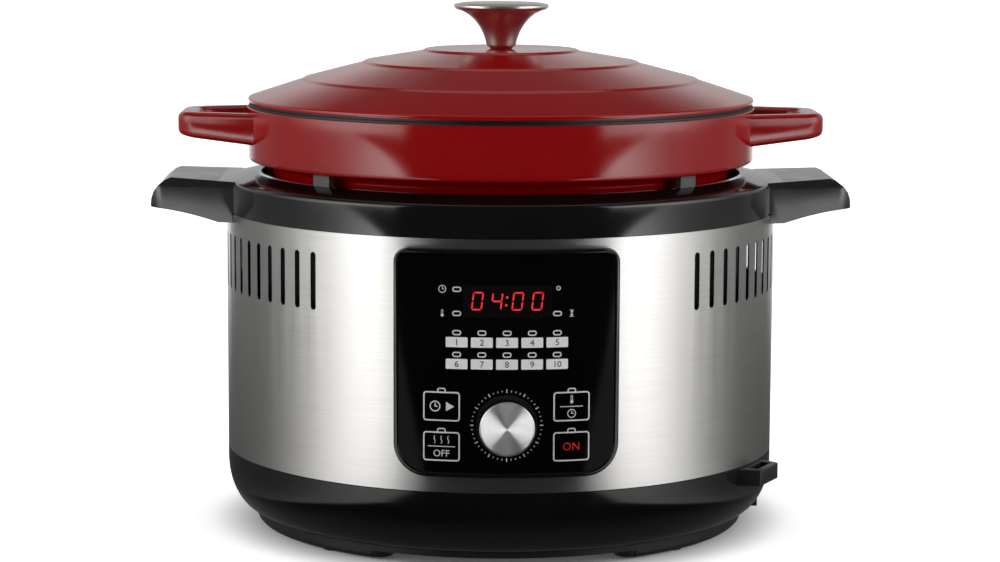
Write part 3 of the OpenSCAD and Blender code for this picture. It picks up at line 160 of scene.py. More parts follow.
HANDLE_ROOT_X = BODY_R + 2 * MM
HANDLE_WALL = 2.5 * MM
HANDLE_HOLLOW_R = BODY_R + 2.5 * MM
COVER_T = 3 * MM
BOWL_Z = BAND_Z - 6.8 * MM
SHELL_T = 2.5 * MM
INLET_TURN = math.radians(3)
LOOP_TURN = math.radians(-28)

# Sizes of the panel's print
KEY_X = 31.7 * MM
KEY_TURN = math.asin(KEY_X / FACE_R)
KEY_FRAME_W = 18.3 * MM
KEY_FRAME_H = 14.55 * MM
KEY_CORNER = 1.6 * MM
KEY_LINE = 0.7 * MM
KEY_LAMP_UP = 7.85 * MM
KEY_RULE = 0.4 * MM
LAMP_W = 4.35 * MM
LAMP_H = 2.6 * MM
LAMP_CORNER = LAMP_H * 0.46
LAMP_LINE = 0.6 * MM
LAMP_PITCH = 12.2 * MM
LAMP_ROWS = [PANEL_Z + 71.6 * MM, PANEL_Z + 60.9 * MM]
LABEL_W = 10.6 * MM
LABEL_H = 5 * MM
LABEL_DROP = 4.68 * MM
LABEL_CORNER = 0.5 * MM
NUMBER_H = 3 * MM
MODE_X = 24.4 * MM
MODE_LOW_Z = PANEL_Z + 81 * MM
MODE_HIGH_Z = PANEL_Z + 92.8 * MM
MARK_X = MODE_X + 7 * MM
SCALE_R = 17 * MM
SCALE_TICKS = 48
LONG_TICK = (0.5 * MM, 1.7 * MM)
SHORT_TICK = (0.36 * MM, 0.8 * MM)
LONG_TICK_EVERY = 4
DIGIT_MIDDLES = [-14.4 * MM, -5.0 * MM, 5.1 * MM, 14.7 * MM]
DIGIT_W = 4.6 * MM
DIGIT_H = 4.15 * MM
DIGIT_BAR = 0.74 * MM
DIGIT_CORNER = 0.3 * MM
DIGIT_SLANT = math.tan(math.radians(7))
INK = 0.06 * MM
CAPITAL_SHARE = 0.7

# Studio, in metres. In mirrors, black cards lie in front: so wide, opening out with that factor and power.
FLOOR_W = 22
CARD_HALF = 0.16
CARD_SPREAD = 1.06
CARD_BEND = 1.8
CARD_LEVEL = 0.012
SIDE_LIGHT = 3.6
ROOM_BACK = 1.4
ROOM_DIM = 0.06
ROOM_BOW = -0.25

# Levels of light (place, level): the floor as seen, by radius, darker near the body as a painted shadow, and
# as mirrored, by its share of a half turn from the front; the room behind, by height; the tall lights, by
# share of a half turn and by height
FLOOR_SEEN_WITH_PAINTED_SHADOW = [(0.0, 0.05), (0.125, 0.06), (0.14, 0.35), (0.155, 0.72), (0.2, 0.92), (0.3, 1.0)]
FLOOR_MIRRORED = [(0.0, 1.0), (0.26, 1.0), (0.3, 0.78), (0.335, 0.58), (0.38, 0.32), (0.43, 0.17),
                  (0.51, 0.09), (0.62, 0.055), (0.8, 0.05), (0.9, 0.32), (1.0, 0.4)]
ROOM_HEIGHT = [(0.0, 0.38), (0.1, 0.42), (0.2, 0.54), (0.285, 0.52), (0.375, 0.3), (0.5, 0.08), (1.0, 0.05)]
LIGHT_ACROSS = [(0.0, 0.0), (0.24, 0.0), (0.25, 0.66), (0.33, 0.88), (0.37, 0.92), (0.42, 0.9), (0.49, 0.6),
                (0.555, 0.33), (0.62, 0.14), (0.7, 0.0)]
LIGHT_UP = [(0.0, SIDE_LIGHT), (0.5, SIDE_LIGHT), (0.72, 0.0)]

# Camera, placed in metres and turned in degrees
CAMERA_LENS = 102.9
CAMERA_SENSOR = 36
CAMERA_PLACE = (-0.0367, -1.5126, 0.3363)
CAMERA_ASIDE = -1.39
CAMERA_DOWN = 7.92
CAMERA_ROLL = 0.27


# Finishes

def linear(code):
    """The linear colour of an sRGB hex value"""
    parts = [int(code[i:i + 2], 16) / 255 for i in (1, 3, 5)]
    return [p / 12.92 if p <= 0.04045 else ((p + 0.055) / 1.055) ** 2.4 for p in parts] + [1.0]


def grey(value):
    """A grey colour of that linear value"""
    return [value, value, value, 1.0]


def greys(levels):
    """A ramp's stops from places and grey levels"""
    return [(place, grey(level)) for place, level in levels]


def add_node(tree, kind, inputs, stops=(), **settings):
    """Adds a node with its settings and a ramp's stops (place, colour), and sets its inputs or links them"""
    node = tree.nodes.new("ShaderNode" + kind)
    for name, value in settings.items():
        setattr(node, name, value)
    for place, colour in stops[2:]:
        node.color_ramp.elements.new(place)
    for index, (place, colour) in enumerate(stops):
        node.color_ramp.elements[index].position = place
        node.color_ramp.elements[index].color = colour
    for name, value in inputs.items():
        if isinstance(value, bpy.types.NodeSocket):
            tree.links.new(value, node.inputs[name])
        else:
            node.inputs[name].default_value = value
    return node


def new_material(name):
    """A node material that is still empty, and its node tree"""
    material = bpy.data.materials.new(name)
    material.use_nodes = True
    material.node_tree.nodes.clear()
    return material, material.node_tree


def end_material(tree, inputs, height=None, depth=0.0, strength=1.0):
    """Ends a material with its shader, and with the relief of a height pattern where it has one"""
    if height is not None:
        relief = add_node(tree, "Bump", {"Height": height, "Distance": depth, "Strength": strength})
        inputs["Normal"] = relief.outputs["Normal"]
    shader = add_node(tree, "BsdfPrincipled", inputs)
    add_node(tree, "OutputMaterial", {"Surface": shader.outputs["BSDF"]})


def grain(tree, size, low, high, detail=3.0):
    """A soft random pattern of that size in metres, and its values spread between two colours"""
    place = add_node(tree, "TexCoord", {}).outputs["Object"]
    noise = add_node(tree, "TexNoise", {"Vector": place, "Scale": 1 / size, "Detail": detail})
    spread = add_node(tree, "ValToRGB", {"Fac": noise.outputs["Fac"]}, stops=[(0.3, low), (0.7, high)])
    return noise.outputs["Fac"], spread.outputs["Color"]


def vitreous_enamel():
    """Glossy red enamel, fired on cast iron: an even glass coat with a faint orange peel"""
    material, tree = new_material("red_vitreous_enamel")
    peel = grain(tree, 5 * MM, grey(0), grey(1), detail=1.0)[0]
    colour = grain(tree, 60 * MM, linear("#9b0205"), linear("#a20407"))[1]
    rough = grain(tree, 22 * MM, grey(0.10), grey(0.15))[1]
    end_material(tree, {"Base Color": colour, "Roughness": rough, "IOR": 1.52},
                 height=peel, depth=0.02 * MM, strength=0.5)
    return material


def matte_enamel():
    """Matte black enamel of the pot's inside and of both rims: pitted and dull"""
    material, tree = new_material("black_matte_enamel")
    pits, colour = grain(tree, 0.9 * MM, linear("#050506"), linear("#101011"))
    end_material(tree, {"Base Color": colour, "Roughness": 0.5}, height=pits, depth=0.06 * MM, strength=0.6)
    return material


def moulded_plastic(name, dark, pale, roughness, grit, depth, ior=1.5):
    """Moulded black plastic: gloss from a polished tool, or a spark-eroded grit of that size and depth"""
    material, tree = new_material(name)
    colour = grain(tree, 40 * MM, linear(dark), linear(pale))[1]
    rough = grain(tree, 15 * MM, grey(roughness * 0.85), grey(roughness * 1.15))[1]
    pattern = grain(tree, grit, grey(0), grey(1), detail=2.0)[0]
    end_material(tree, {"Base Color": colour, "Roughness": rough, "IOR": ior},
                 height=pattern, depth=depth, strength=0.4)
    return material


def brushed_band():
    """Stainless sheet brushed round the body. Real lines 0.1 mm apart wouldn't show, so these are 0.5 mm"""
    line_pitch = 0.5 * MM
    line_length = 45 * MM
    material, tree = new_material("brushed_stainless_band")
    place = add_node(tree, "TexCoord", {}).outputs["Object"]
    axes = add_node(tree, "SeparateXYZ", {"Vector": place})
    turn = add_node(tree, "Math", {0: axes.outputs["Y"], 1: axes.outputs["X"]}, operation="ARCTAN2")
    along = add_node(tree, "Math", {0: turn.outputs[0], 1: BODY_R / line_length}, operation="MULTIPLY")
    across = add_node(tree, "Math", {0: axes.outputs["Z"], 1: 1 / line_pitch}, operation="MULTIPLY")
    lines = add_node(tree, "CombineXYZ", {"X": along.outputs[0], "Z": across.outputs[0]})
    streak = add_node(tree, "TexNoise", {"Vector": lines.outputs[0], "Scale": 1.0, "Detail": 3.0})
    colour = add_node(tree, "ValToRGB", {"Fac": streak.outputs["Fac"]},
                      stops=[(0.25, linear("#bab9b6")), (0.75, linear("#c8c7c4"))])
    rough = add_node(tree, "MapRange", {"Value": streak.outputs["Fac"], "To Min": 0.27, "To Max": 0.33})
    round_body = add_node(tree, "Tangent", {}, direction_type="RADIAL", axis="Z")
    end_material(tree, {"Base Color": colour.outputs["Color"], "Metallic": 1.0, "Roughness": rough.outputs[0],
                        "Anisotropic": 0.8, "Anisotropic Rotation": 0.25, "Tangent": round_body.outputs[0]})
    return material


def satin_steel():
    """Cast steel knob with a warm satin finish"""
    material, tree = new_material("warm_satin_steel")
    satin, colour = grain(tree, 0.5 * MM, linear("#cec5c0"), linear("#dcd3ce"))
    rough = grain(tree, 6 * MM, grey(0.3), grey(0.36))[1]
    end_material(tree, {"Base Color": colour, "Metallic": 1.0, "Roughness": rough},
                 height=satin, depth=0.01 * MM, strength=0.3)
    return material


def spun_aluminium():
    """Dial cap turned on a lathe: the flanks of its fine grooves stretch the light into a bow tie"""
    streak_w = 0.35 * MM
    groove_w = 0.2 * MM
    groove_lean = 0.62
    material, tree = new_material("spun_aluminium")
    place = add_node(tree, "TexCoord", {}).outputs["Object"]
    middle = add_node(tree, "Mapping", {"Vector": place, "Location": (0, 0, -DIAL_Z), "Scale": (1, 0, 1)})
    radius = add_node(tree, "VectorMath", {0: middle.outputs[0]}, operation="LENGTH").outputs["Value"]
    ring = add_node(tree, "Math", {0: radius, 1: 1 / streak_w}, operation="MULTIPLY")
    streak = add_node(tree, "TexNoise", {"W": ring.outputs[0], "Scale": 1.0, "Detail": 2.0},
                      noise_dimensions="1D")
    colour = add_node(tree, "ValToRGB", {"Fac": streak.outputs["Fac"]},
                      stops=[(0.0, linear("#f0f0f1")), (1.0, linear("#ffffff"))])
    groove = add_node(tree, "Math", {0: radius, 1: groove_w}, operation="PINGPONG")
    flank = add_node(tree, "Math", {0: groove.outputs[0], 1: groove_lean}, operation="MULTIPLY")
    rings = add_node(tree, "Tangent", {}, direction_type="RADIAL", axis="Y")
    end_material(tree, {"Base Color": colour.outputs["Color"], "Metallic": 1.0, "Roughness": 0.36,
                        "Anisotropic": 0.9, "Anisotropic Rotation": 0.25, "Tangent": rings.outputs[0]},
                 height=flank.outputs[0], depth=1.0)
    return material


def metal(name, dark, pale, roughness, size):
    """A metal with the patches that its making leaves: cast, rolled, plated or heat-stained"""
    material, tree = new_material(name)
    patches, colour = grain(tree, size, linear(dark), linear(pale))
    rough = grain(tree, 3 * size, grey(roughness * 0.8), grey(roughness * 1.2))[1]
    end_material(tree, {"Base Color": colour, "Metallic": 1.0, "Roughness": rough},
                 height=patches, depth=0.01 * MM, strength=0.3)
    return material


def plain(name, dark, pale, roughness, size):
    """A dull solid such as rubber, board, ceramic or braid, with its own grain"""
    material, tree = new_material(name)
    pattern, colour = grain(tree, size, linear(dark), linear(pale))
    end_material(tree, {"Base Color": colour, "Roughness": roughness},
                 height=pattern, depth=0.05 * MM, strength=0.4)
    return material


def printed_ink(name, dark, pale):
    """Screen-printed ink with slightly uneven cover"""
    material, tree = new_material(name)
    colour = grain(tree, 1.5 * MM, linear(dark), linear(pale))[1]
    end_material(tree, {"Base Color": colour, "Roughness": 0.4})
    return material


def lit_segments():
    """Red light segments behind the tinted window, a little uneven along each bar"""
    material, tree = new_material("red_light_segments")
    glow = grain(tree, 2.5 * MM, linear("#f0121e"), linear("#ff4a52"))[1]
    end_material(tree, {"Base Color": linear("#3a0406"), "Roughness": 0.4, "Emission Color": glow,
                        "Emission Strength": 0.9})
    return material


MATERIALS = {
    "red_enamel": vitreous_enamel(),
    "black_gloss": moulded_plastic("black_polished_abs", "#0b0b0c", "#0e0e0f",
                                   roughness=0.1, grit=6 * MM, depth=0.01 * MM),
    "black_satin": moulded_plastic("black_textured_abs", "#131314", "#19191a",
                                   roughness=0.42, grit=0.5 * MM, depth=0.03 * MM),
    "panel_black": moulded_plastic("black_panel_acrylic", "#050506", "#070708",
                                   roughness=0.09, grit=9 * MM, depth=0.004 * MM, ior=1.15),
    "band_steel": brushed_band(),
    "knob_steel": satin_steel(),
    "dial_metal": spun_aluminium(),
    "plate_metal": metal("cast_aluminium_plate", "#8f9192", "#a8aaab", roughness=0.38, size=4 * MM),
    "sheet_metal": metal("rolled_aluminium_sheet", "#8a8e90", "#a9adaf", roughness=0.34, size=9 * MM),
    "screw_steel": metal("zinc_plated_steel", "#9a9a98", "#b9b9b6", roughness=0.3, size=2 * MM),
    "element_steel": metal("heat_stained_steel", "#3a3634", "#57524f", roughness=0.45, size=7 * MM),
    "pad_rubber": plain("moulded_rubber", "#161616", "#202020", roughness=0.75, size=1.2 * MM),
    "display_red": moulded_plastic("smoked_red_acrylic", "#080304", "#0b0405",
                                   roughness=0.09, grit=9 * MM, depth=0.004 * MM),
    "lamp_clear": moulded_plastic("smoked_lamp_lens", "#0c0c0d", "#121213",
                                  roughness=0.2, grit=2 * MM, depth=0.01 * MM),
    "board_green": plain("solder_mask_green", "#174425", "#1f5530", roughness=0.4, size=6 * MM),
    "component_dark": plain("component_moulding", "#202021", "#2b2b2c", roughness=0.5, size=1.5 * MM),
    "pin_brass": metal("nickel_brass", "#b89c58", "#d0b56f", roughness=0.28, size=3 * MM),
    "ceramic_white": plain("unglazed_ceramic", "#cfc8b6", "#ddd7c7", roughness=0.8, size=2 * MM),
    "wire_grey": plain("ribbon_insulation", "#9a9a96", "#b0b0ac", roughness=0.55, size=1.3 * MM),
    "lead_braid": plain("glass_fibre_braid", "#a79f86", "#c3bba2", roughness=0.85, size=0.8 * MM),
}
RIM_BLACK = matte_enamel()
HANDLE_SATIN = moulded_plastic("black_satin_abs", "#19191a", "#1e1e1f",
                               roughness=0.22, grit=0.6 * MM, depth=0.015 * MM, ior=1.8)
PAD_GREY = plain("grey_silicone", "#515151", "#5c5c5c", roughness=0.55, size=1.2 * MM)
# The heat shield gets a dark copy of the aluminium sheet: painted shade for the dim inside of the body
SHIELD_PAINTED_SHADE = metal("aluminium_sheet_painted_shade", "#2a2b2c", "#353738", roughness=0.5, size=9 * MM)
WHITE_INK = printed_ink("white_printed_ink", "#d9d9d9", "#ececec")
LABEL_INK = printed_ink("label_printed_ink", "#f4f4f2", "#ffffff")
DARK_INK = printed_ink("dark_printed_ink", "#141414", "#1f1f1f")
RED_INK = printed_ink("red_printed_ink", "#d3141c", "#e61c24")
SEGMENT_RED = lit_segments()


# Modelling steps that repeat

def begin(name):
    """A new piece in edit mode that is one point at the origin"""
    bpy.ops.object.select_all(action="DESELECT")
    bpy.ops.mesh.primitive_plane_add(size=MM)
    piece = bpy.context.object
    piece.name = name
    piece.data.name = name
    bpy.ops.object.mode_set(mode="EDIT")
    bpy.ops.mesh.merge(type="CENTER")
    return piece


def draw(points):
    """Draws a line from the piece's first point on, one extrusion for each step"""
    here = Vector((0, 0, 0))
    for index, point in enumerate(points):
        step = Vector(point) - here
        if index == 0:
            bpy.ops.transform.translate(value=step)
        else:
            bpy.ops.mesh.extrude_region_move(TRANSFORM_OT_translate={"value": step})
        here = Vector(point)


def rounded(corners, steps=6):
    """The points of a line through corners (a, b, radius), with an arc at each corner that has a radius"""
    line = []
    for index, (a, b, radius) in enumerate(corners):
        here = Vector((a, b))
        if radius == 0 or index in (0, len(corners) - 1):
            line.append(here)
            continue
        back = (Vector(corners[index - 1][:2]) - here).normalized()
        ahead = (Vector(corners[index + 1][:2]) - here).normalized()
        half = back.angle(ahead) / 2
        middle = here + (back + ahead).normalized() * (radius / math.sin(half))
        start = here + back * (radius / math.tan(half)) - middle
        sweep = start.angle_signed(here + ahead * (radius / math.tan(half)) - middle)
        line += [middle + Matrix.Rotation(-sweep * i / steps, 2) @ start for i in range(steps + 1)]
    return line


def raise_all(height):
    """Extrudes everything in the piece in edit mode upwards"""
    bpy.ops.mesh.select_all(action="SELECT")
    bpy.ops.mesh.extrude_region_move(TRANSFORM_OT_translate={"value": (0, 0, height)})
    bpy.ops.mesh.select_all(action="SELECT")


def close_mesh():
    """Joins doubled points, turns the faces outwards and leaves edit mode"""
    bpy.ops.mesh.select_all(action="SELECT")
    bpy.ops.mesh.remove_doubles(threshold=WELD)
    bpy.ops.mesh.normals_make_consistent(inside=False)
    bpy.ops.object.mode_set(mode="OBJECT")


def turned(name, profile, steps=180):
    """A piece turned round the body's axis from a profile in radius and height"""
    piece = begin(name)
    draw([(r, 0, z) for r, z in profile])
    bpy.ops.mesh.select_all(action="SELECT")
    bpy.ops.mesh.spin(steps=steps, angle=2 * math.pi, center=(0, 0, 0), axis=(0, 0, 1))
    close_mesh()
    return piece


def block(name, outline, low, high):
    """A piece with a flat outline in x and y, between two heights. It stays in edit mode"""
    piece = begin(name)
    draw([(x, y, low) for x, y in outline])
    bpy.ops.mesh.select_all(action="SELECT")
    bpy.ops.mesh.edge_face_add()
    raise_all(high - low)
    bpy.ops.mesh.normals_make_consistent(inside=False)
    return piece


def slice_across(axis, places):
    """Cuts new edges into the piece in edit mode, across an axis at those places"""
    for place in places:
        bpy.ops.mesh.select_all(action="SELECT")
        bpy.ops.mesh.bisect(plane_co=axis * place, plane_no=axis)


def cut_off(place, way):
    """Cuts away what lies beyond a plane, from the piece in edit mode, and closes the cut"""
    bpy.ops.mesh.select_all(action="SELECT")
    bpy.ops.mesh.bisect(plane_co=place, plane_no=Vector(way).normalized(), use_fill=True, clear_outer=True)


def bevel_edges(piece, rule, radius, segments, turn=35):
    """Rounds the edges of a piece in edit mode that turn by more than that and whose middle meets a rule"""
    bpy.ops.mesh.select_mode(type="EDGE")
    bpy.ops.mesh.select_all(action="DESELECT")
    mesh = bmesh.from_edit_mesh(piece.data)
    for edge in mesh.edges:
        sharp = len(edge.link_faces) == 2 and edge.calc_face_angle() > math.radians(turn)
        edge.select = sharp and rule((edge.verts[0].co + edge.verts[1].co) / 2)
    mesh.select_flush_mode()
    bmesh.update_edit_mesh(piece.data)
    bpy.ops.mesh.bevel(offset=radius, segments=segments, affect="EDGES", clamp_overlap=True)
    bpy.ops.mesh.select_mode(type="VERT")


def make_active(piece):
    """Selects one piece alone, for the operators that follow"""
    bpy.ops.object.select_all(action="DESELECT")
    piece.select_set(True)
    bpy.context.view_layer.objects.active = piece


def combine(piece, tool, operation):
    """Adds or cuts another solid, which is then gone"""
    make_active(piece)
    step = piece.modifiers.new("combine", "BOOLEAN")
    step.operation = operation
    step.object = tool
    step.solver = "EXACT"
    bpy.ops.object.modifier_apply(modifier=step.name)
    bpy.data.objects.remove(tool)


def turn_copy(piece, name, turn):
    """A copy of a piece with its own mesh, turned round the body's axis"""
    copy = piece.copy()
    copy.data = piece.data.copy()
    copy.name = name
    copy.data.transform(Matrix.Rotation(turn, 4, "Z"))
    bpy.context.scene.collection.objects.link(copy)
    return copy


def settle(piece, body, materials, nodes=(), rule=None, angle=32):
    """Finishes a piece: smooth faces, materials by a rule on each face's middle, its body, slot and nodes"""
    make_active(piece)
    bpy.ops.object.shade_smooth_by_angle(angle=math.radians(angle))
    piece.data.materials.clear()
    for material in materials:
        piece.data.materials.append(material)
    for face in piece.data.polygons:
        face.material_index = rule(face.center) if rule else 0
    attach(piece, body)
    if nodes:
        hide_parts(*nodes)


# Pot and lid

def make_pot():
    """Cast pot: narrow below, wide above, with two loop handles in one casting"""
    in_r = POT_R - POT_WALL
    low_in_r = POT_LOW_R - POT_WALL
    shelf_z = SHOULDER_Z + POT_WALL
    rim_r = POT_R - RIM_STEP
    coat_z = RIM_Z - RIM_H
    coat_edge = 0.5 * MM
    floor_z = POT_Z + POT_FLOOR
    profile = rounded([
        (0, POT_Z, 0), (POT_LOW_R, POT_Z, POT_FOOT_CORNER), (POT_LOW_R, SHOULDER_Z, SHOULDER_CORNER),
        (POT_R, SHOULDER_Z, SHOULDER_EDGE), (POT_R, coat_z, coat_edge), (rim_r, coat_z, 0),
        (rim_r, RIM_Z, FINE_EDGE), (in_r, RIM_Z, SOFT_EDGE), (in_r, shelf_z, SHOULDER_CORNER),
        (low_in_r, shelf_z, SHOULDER_CORNER), (low_in_r, floor_z, POT_FLOOR_CORNER), (0, floor_z, 0)])
    pot = turned("cast_pot", profile)
    loop = make_loop()
    combine(pot, turn_copy(loop, "loop_copy", math.pi), "UNION")
    combine(pot, loop, "UNION")
    inside_z = SHOULDER_Z + 2 * MM
    inside_r = in_r + 0.6 * MM
    well_z = POT_Z + 4 * MM
    well_r = low_in_r + MM

    def coat(middle):
        radius = math.hypot(middle.x, middle.y)
        rim = middle.z > coat_z - HAIR
        inside = middle.z > inside_z and radius < inside_r
        well = middle.z > well_z and radius < well_r
        return 1 if rim or inside or well else 0

    settle(pot, "pot", [MATERIALS["red_enamel"], RIM_BLACK], ["pot"], coat)


def loop_side(x):
    """Half the width of a pot loop, which narrows outwards"""
    return LOOP_HALF + (LOOP_END - x) * math.tan(LOOP_LEAN)


def make_loop():
    """One loop handle: a bar round a finger hole, deeper at the pot. Its roots end inside the pot's wall"""
    outer_x = POT_R - 7.8 * MM
    inner_x = POT_R - 4.8 * MM
    inner_end = LOOP_END - LOOP_BAR
    bar_y = LOOP_BAR / math.cos(LOOP_LEAN)
    inner_corner = LOOP_CORNER - LOOP_BAR / 2
    outer = [(outer_x, -loop_side(outer_x), 0), (LOOP_END, -LOOP_HALF, LOOP_CORNER),
             (LOOP_END, LOOP_HALF, LOOP_CORNER), (outer_x, loop_side(outer_x), 0)]
    inner_half = loop_side(inner_end) - bar_y
    inner_root = loop_side(inner_x) - bar_y
    inner = [(inner_x, inner_root, 0), (inner_end, inner_half, inner_corner),
             (inner_end, -inner_half, inner_corner), (inner_x, -inner_root, 0)]
    outline = rounded(outer, steps=8) + rounded(inner, steps=8)
    loop = block("loop", outline, LOOP_TOP_Z - LOOP_ROOT_H, LOOP_TOP_Z)
    slope = (LOOP_ROOT_H - LOOP_END_H) / (LOOP_END - POT_R)
    for vertex in bmesh.from_edit_mesh(loop.data).verts:
        if vertex.co.z < LOOP_TOP_Z - MM:
            vertex.co.z += max(0, vertex.co.x - POT_R) * slope
    bevel_edges(loop, lambda middle: middle.x > inner_x + MM, LOOP_EDGE, segments=6)
    bpy.ops.object.mode_set(mode="OBJECT")
    return loop


def make_lid():
    """Cast lid with three soft steps, a bare rim and a lip that centres it in the pot"""
    edge_z = RIM_Z + RIM_H
    edge_corner = 1.3 * MM
    rim_r = LID_R - RIM_STEP
    rim_edge = 0.3 * MM
    lip_r = POT_R - POT_WALL - MM
    lip_corner = 2 * MM
    under_corner = 3 * MM
    top = [(0, PLATEAU_Z, 0)]
    under = []
    for radius, drop in STEPS:
        z = PLATEAU_Z - drop
        top += [(radius - STEP_W, z, STEP_CORNER), (radius, z - STEP_H, STEP_CORNER)]
        under.insert(0, (radius - LID_T, z - STEP_H - LID_T, under_corner))
    profile = rounded(top + [
        (LID_R, edge_z + LID_EDGE_H, edge_corner), (LID_R, edge_z, FINE_EDGE), (rim_r, edge_z, 0),
        (rim_r, RIM_Z, rim_edge), (lip_r, RIM_Z, 0), (lip_r, LID_LOW.z, SOFT_EDGE),
        (lip_r - LID_T, LID_LOW.z, SOFT_EDGE), (lip_r - LID_T, RIM_Z, lip_corner)]
        + under + [(0, PLATEAU_Z - STEP_H - LID_T, 0)])
    lid = turned("cast_lid", profile)
    inside_r = 120 * MM
    inside_z = PLATEAU_Z - LID_T
    inside_slope = 0.2
    slope_r = 30 * MM
    inside_gap = 1.2 * MM

    def coat(middle):
        radius = math.hypot(middle.x, middle.y)
        height = inside_z - (radius - slope_r) * inside_slope
        rim = middle.z < edge_z - HAIR
        inside = middle.z < height - inside_gap and radius < inside_r
        return 1 if rim or inside else 0

    settle(lid, "lid", [MATERIALS["red_enamel"], RIM_BLACK], ["lid"], coat)


def make_knob():
    """Flared knob: a narrow seat, a stem that opens like a trumpet and a wide flat cap with a soft rim"""
    low = KNOB_LOW.z
    high = KNOB_HIGH.z
    seat_r = 5.5 * MM
    seat_h = 1.6 * MM
    stem_r = 7.6 * MM
    cap_h = 3.7 * MM
    cap_overhang = 1.5 * MM
    rim_low = high - 2.5 * MM
    rim_high = high - 0.9 * MM
    rim_corner = MM
    crown_w = 5 * MM
    crown_corner = 4 * MM
    swell = 1.2
    flare_h = high - low - cap_h
    flare_r = KNOB_R - cap_overhang - stem_r
    flare = []
    for degrees in range(10, 91, 5):
        turn = math.radians(degrees)
        opening = 1 - max(0, math.cos(turn)) ** swell
        flare.append((stem_r + flare_r * opening, low + flare_h * math.sin(turn) ** swell))
    seat = rounded([(0, low, 0), (seat_r, low, FINE_EDGE), (stem_r, low + seat_h, SOFT_EDGE),
                    flare[0] + (0,)])
    rim = rounded([flare[-1] + (0,), (KNOB_R, rim_low, rim_corner), (KNOB_R, rim_high, rim_corner),
                   (KNOB_R - crown_w, high, crown_corner), (0, high, 0)])
    profile = [tuple(point) for point in seat] + flare[1:] + [tuple(point) for point in rim[1:]]
    knob = turned("lid_knob_turned", profile, steps=96)
    settle(knob, "lid", [MATERIALS["knob_steel"]], ["lid_knob"])


# Base

def ring_top(radius):
    """Height of the top ring's sloping top"""
    return RING_WALL_Z + (RING_R - radius) * RING_SLOPE


def handle_side(x):
    """Half the width of a base handle, which narrows outwards"""
    return HANDLE_HALF + (HANDLE_END - x) * math.tan(HANDLE_TAPER)


def handle_top(x):
    """Height of a base handle's top, which rises a little outwards"""
    return HANDLE_TOP_Z + (x - RING_R) / (HANDLE_END - RING_R) * HANDLE_RISE


def handle_under(x):
    """Height of a base handle's curved underside"""
    share = min(1, (HANDLE_END - x) / (HANDLE_END - HANDLE_ROOT_X))
    return handle_top(HANDLE_END) - HANDLE_END_H - HANDLE_FALL * share ** HANDLE_SWEEP


def handle_shape(name, inset, low_shift, top_z):
    """The block of the right base handle, shrunk by an inset, with its curved underside moved by a shift"""
    end = HANDLE_END - inset
    corner = HANDLE_CORNER - inset
    start = BODY_R - 15 * MM
    inset_y = inset / math.cos(HANDLE_TAPER)
    end_half = handle_side(end) - inset_y
    start_half = handle_side(start) - inset_y
    outline = rounded([(start, -start_half, 0), (end, -end_half, corner), (end, end_half, corner),
                       (start, start_half, 0)], steps=10)
    blank_h = 40 * MM
    handle = block(name, outline, HANDLE_TOP_Z - blank_h, HANDLE_TOP_Z)
    span = HANDLE_END - HANDLE_ROOT_X
    slices = 10
    slice_across(Vector((1, 0, 0)), [HANDLE_ROOT_X + span * i / slices for i in range(slices)])
    for vertex in bmesh.from_edit_mesh(handle.data).verts:
        bottom = vertex.co.z < HANDLE_TOP_Z - blank_h / 2
        vertex.co.z = handle_under(vertex.co.x) + low_shift if bottom else top_z(vertex.co.x)
    bmesh.update_edit_mesh(handle.data)
    return handle


def make_handle():
    """One hollow base handle with bevelled flanks and end, and the pocket that its bottom cover fills"""
    handle = handle_shape("handle", inset=0, low_shift=0, top_z=handle_top)
    end_top = handle_top(HANDLE_END)
    for side in (-1, 1):
        flank = Vector((math.sin(HANDLE_TAPER), side * math.cos(HANDLE_TAPER), HANDLE_FLANK_LEAN))
        cut_off((HANDLE_END, side * HANDLE_HALF, end_top - HANDLE_FLANK), flank)
    for (x, z), (next_x, next_z) in zip(HANDLE_ROUND, HANDLE_ROUND[1:]):
        cut_off((HANDLE_END - x, 0, end_top - z), (next_z - z, 0, x - next_x))
    near_under = 0.2 * MM
    bevel_edges(handle, lambda middle: middle.z < handle_under(middle.x) + near_under, SOFT_EDGE, segments=3)
    bpy.ops.mesh.select_all(action="SELECT")
    bpy.ops.mesh.remove_doubles(threshold=HAIR)
    bpy.ops.mesh.dissolve_degenerate(threshold=0.03 * MM)
    bpy.ops.object.mode_set(mode="OBJECT")
    cover_gap = 0.3 * MM
    pocket = handle_shape("pocket", inset=HANDLE_WALL, low_shift=-5 * MM,
                          top_z=lambda x: handle_under(x) + COVER_T + cover_gap)
    bpy.ops.object.mode_set(mode="OBJECT")
    low_z = RING_Z - 30 * MM
    high_z = LIP_Z + 5 * MM
    keep = turned("pocket_keep", [(0, low_z), (HANDLE_HOLLOW_R, low_z), (HANDLE_HOLLOW_R, high_z),
                                  (0, high_z)])
    combine(pocket, keep, "DIFFERENCE")
    combine(handle, pocket, "DIFFERENCE")
    half_t = 1.3 * MM
    wall_r = RING_R - half_t
    bore_r = BODY_R + 0.2 * MM
    step_z = RING_Z + 0.8 * MM
    mouth_z = ring_top(MOUTH_R) - half_t
    bore = turned("ring_bore", [(0, low_z), (bore_r, low_z), (bore_r, step_z), (wall_r, step_z),
                                (wall_r, ring_top(wall_r) - half_t), (MOUTH_R, mouth_z), (0, mouth_z)])
    combine(handle, bore, "DIFFERENCE")
    return handle


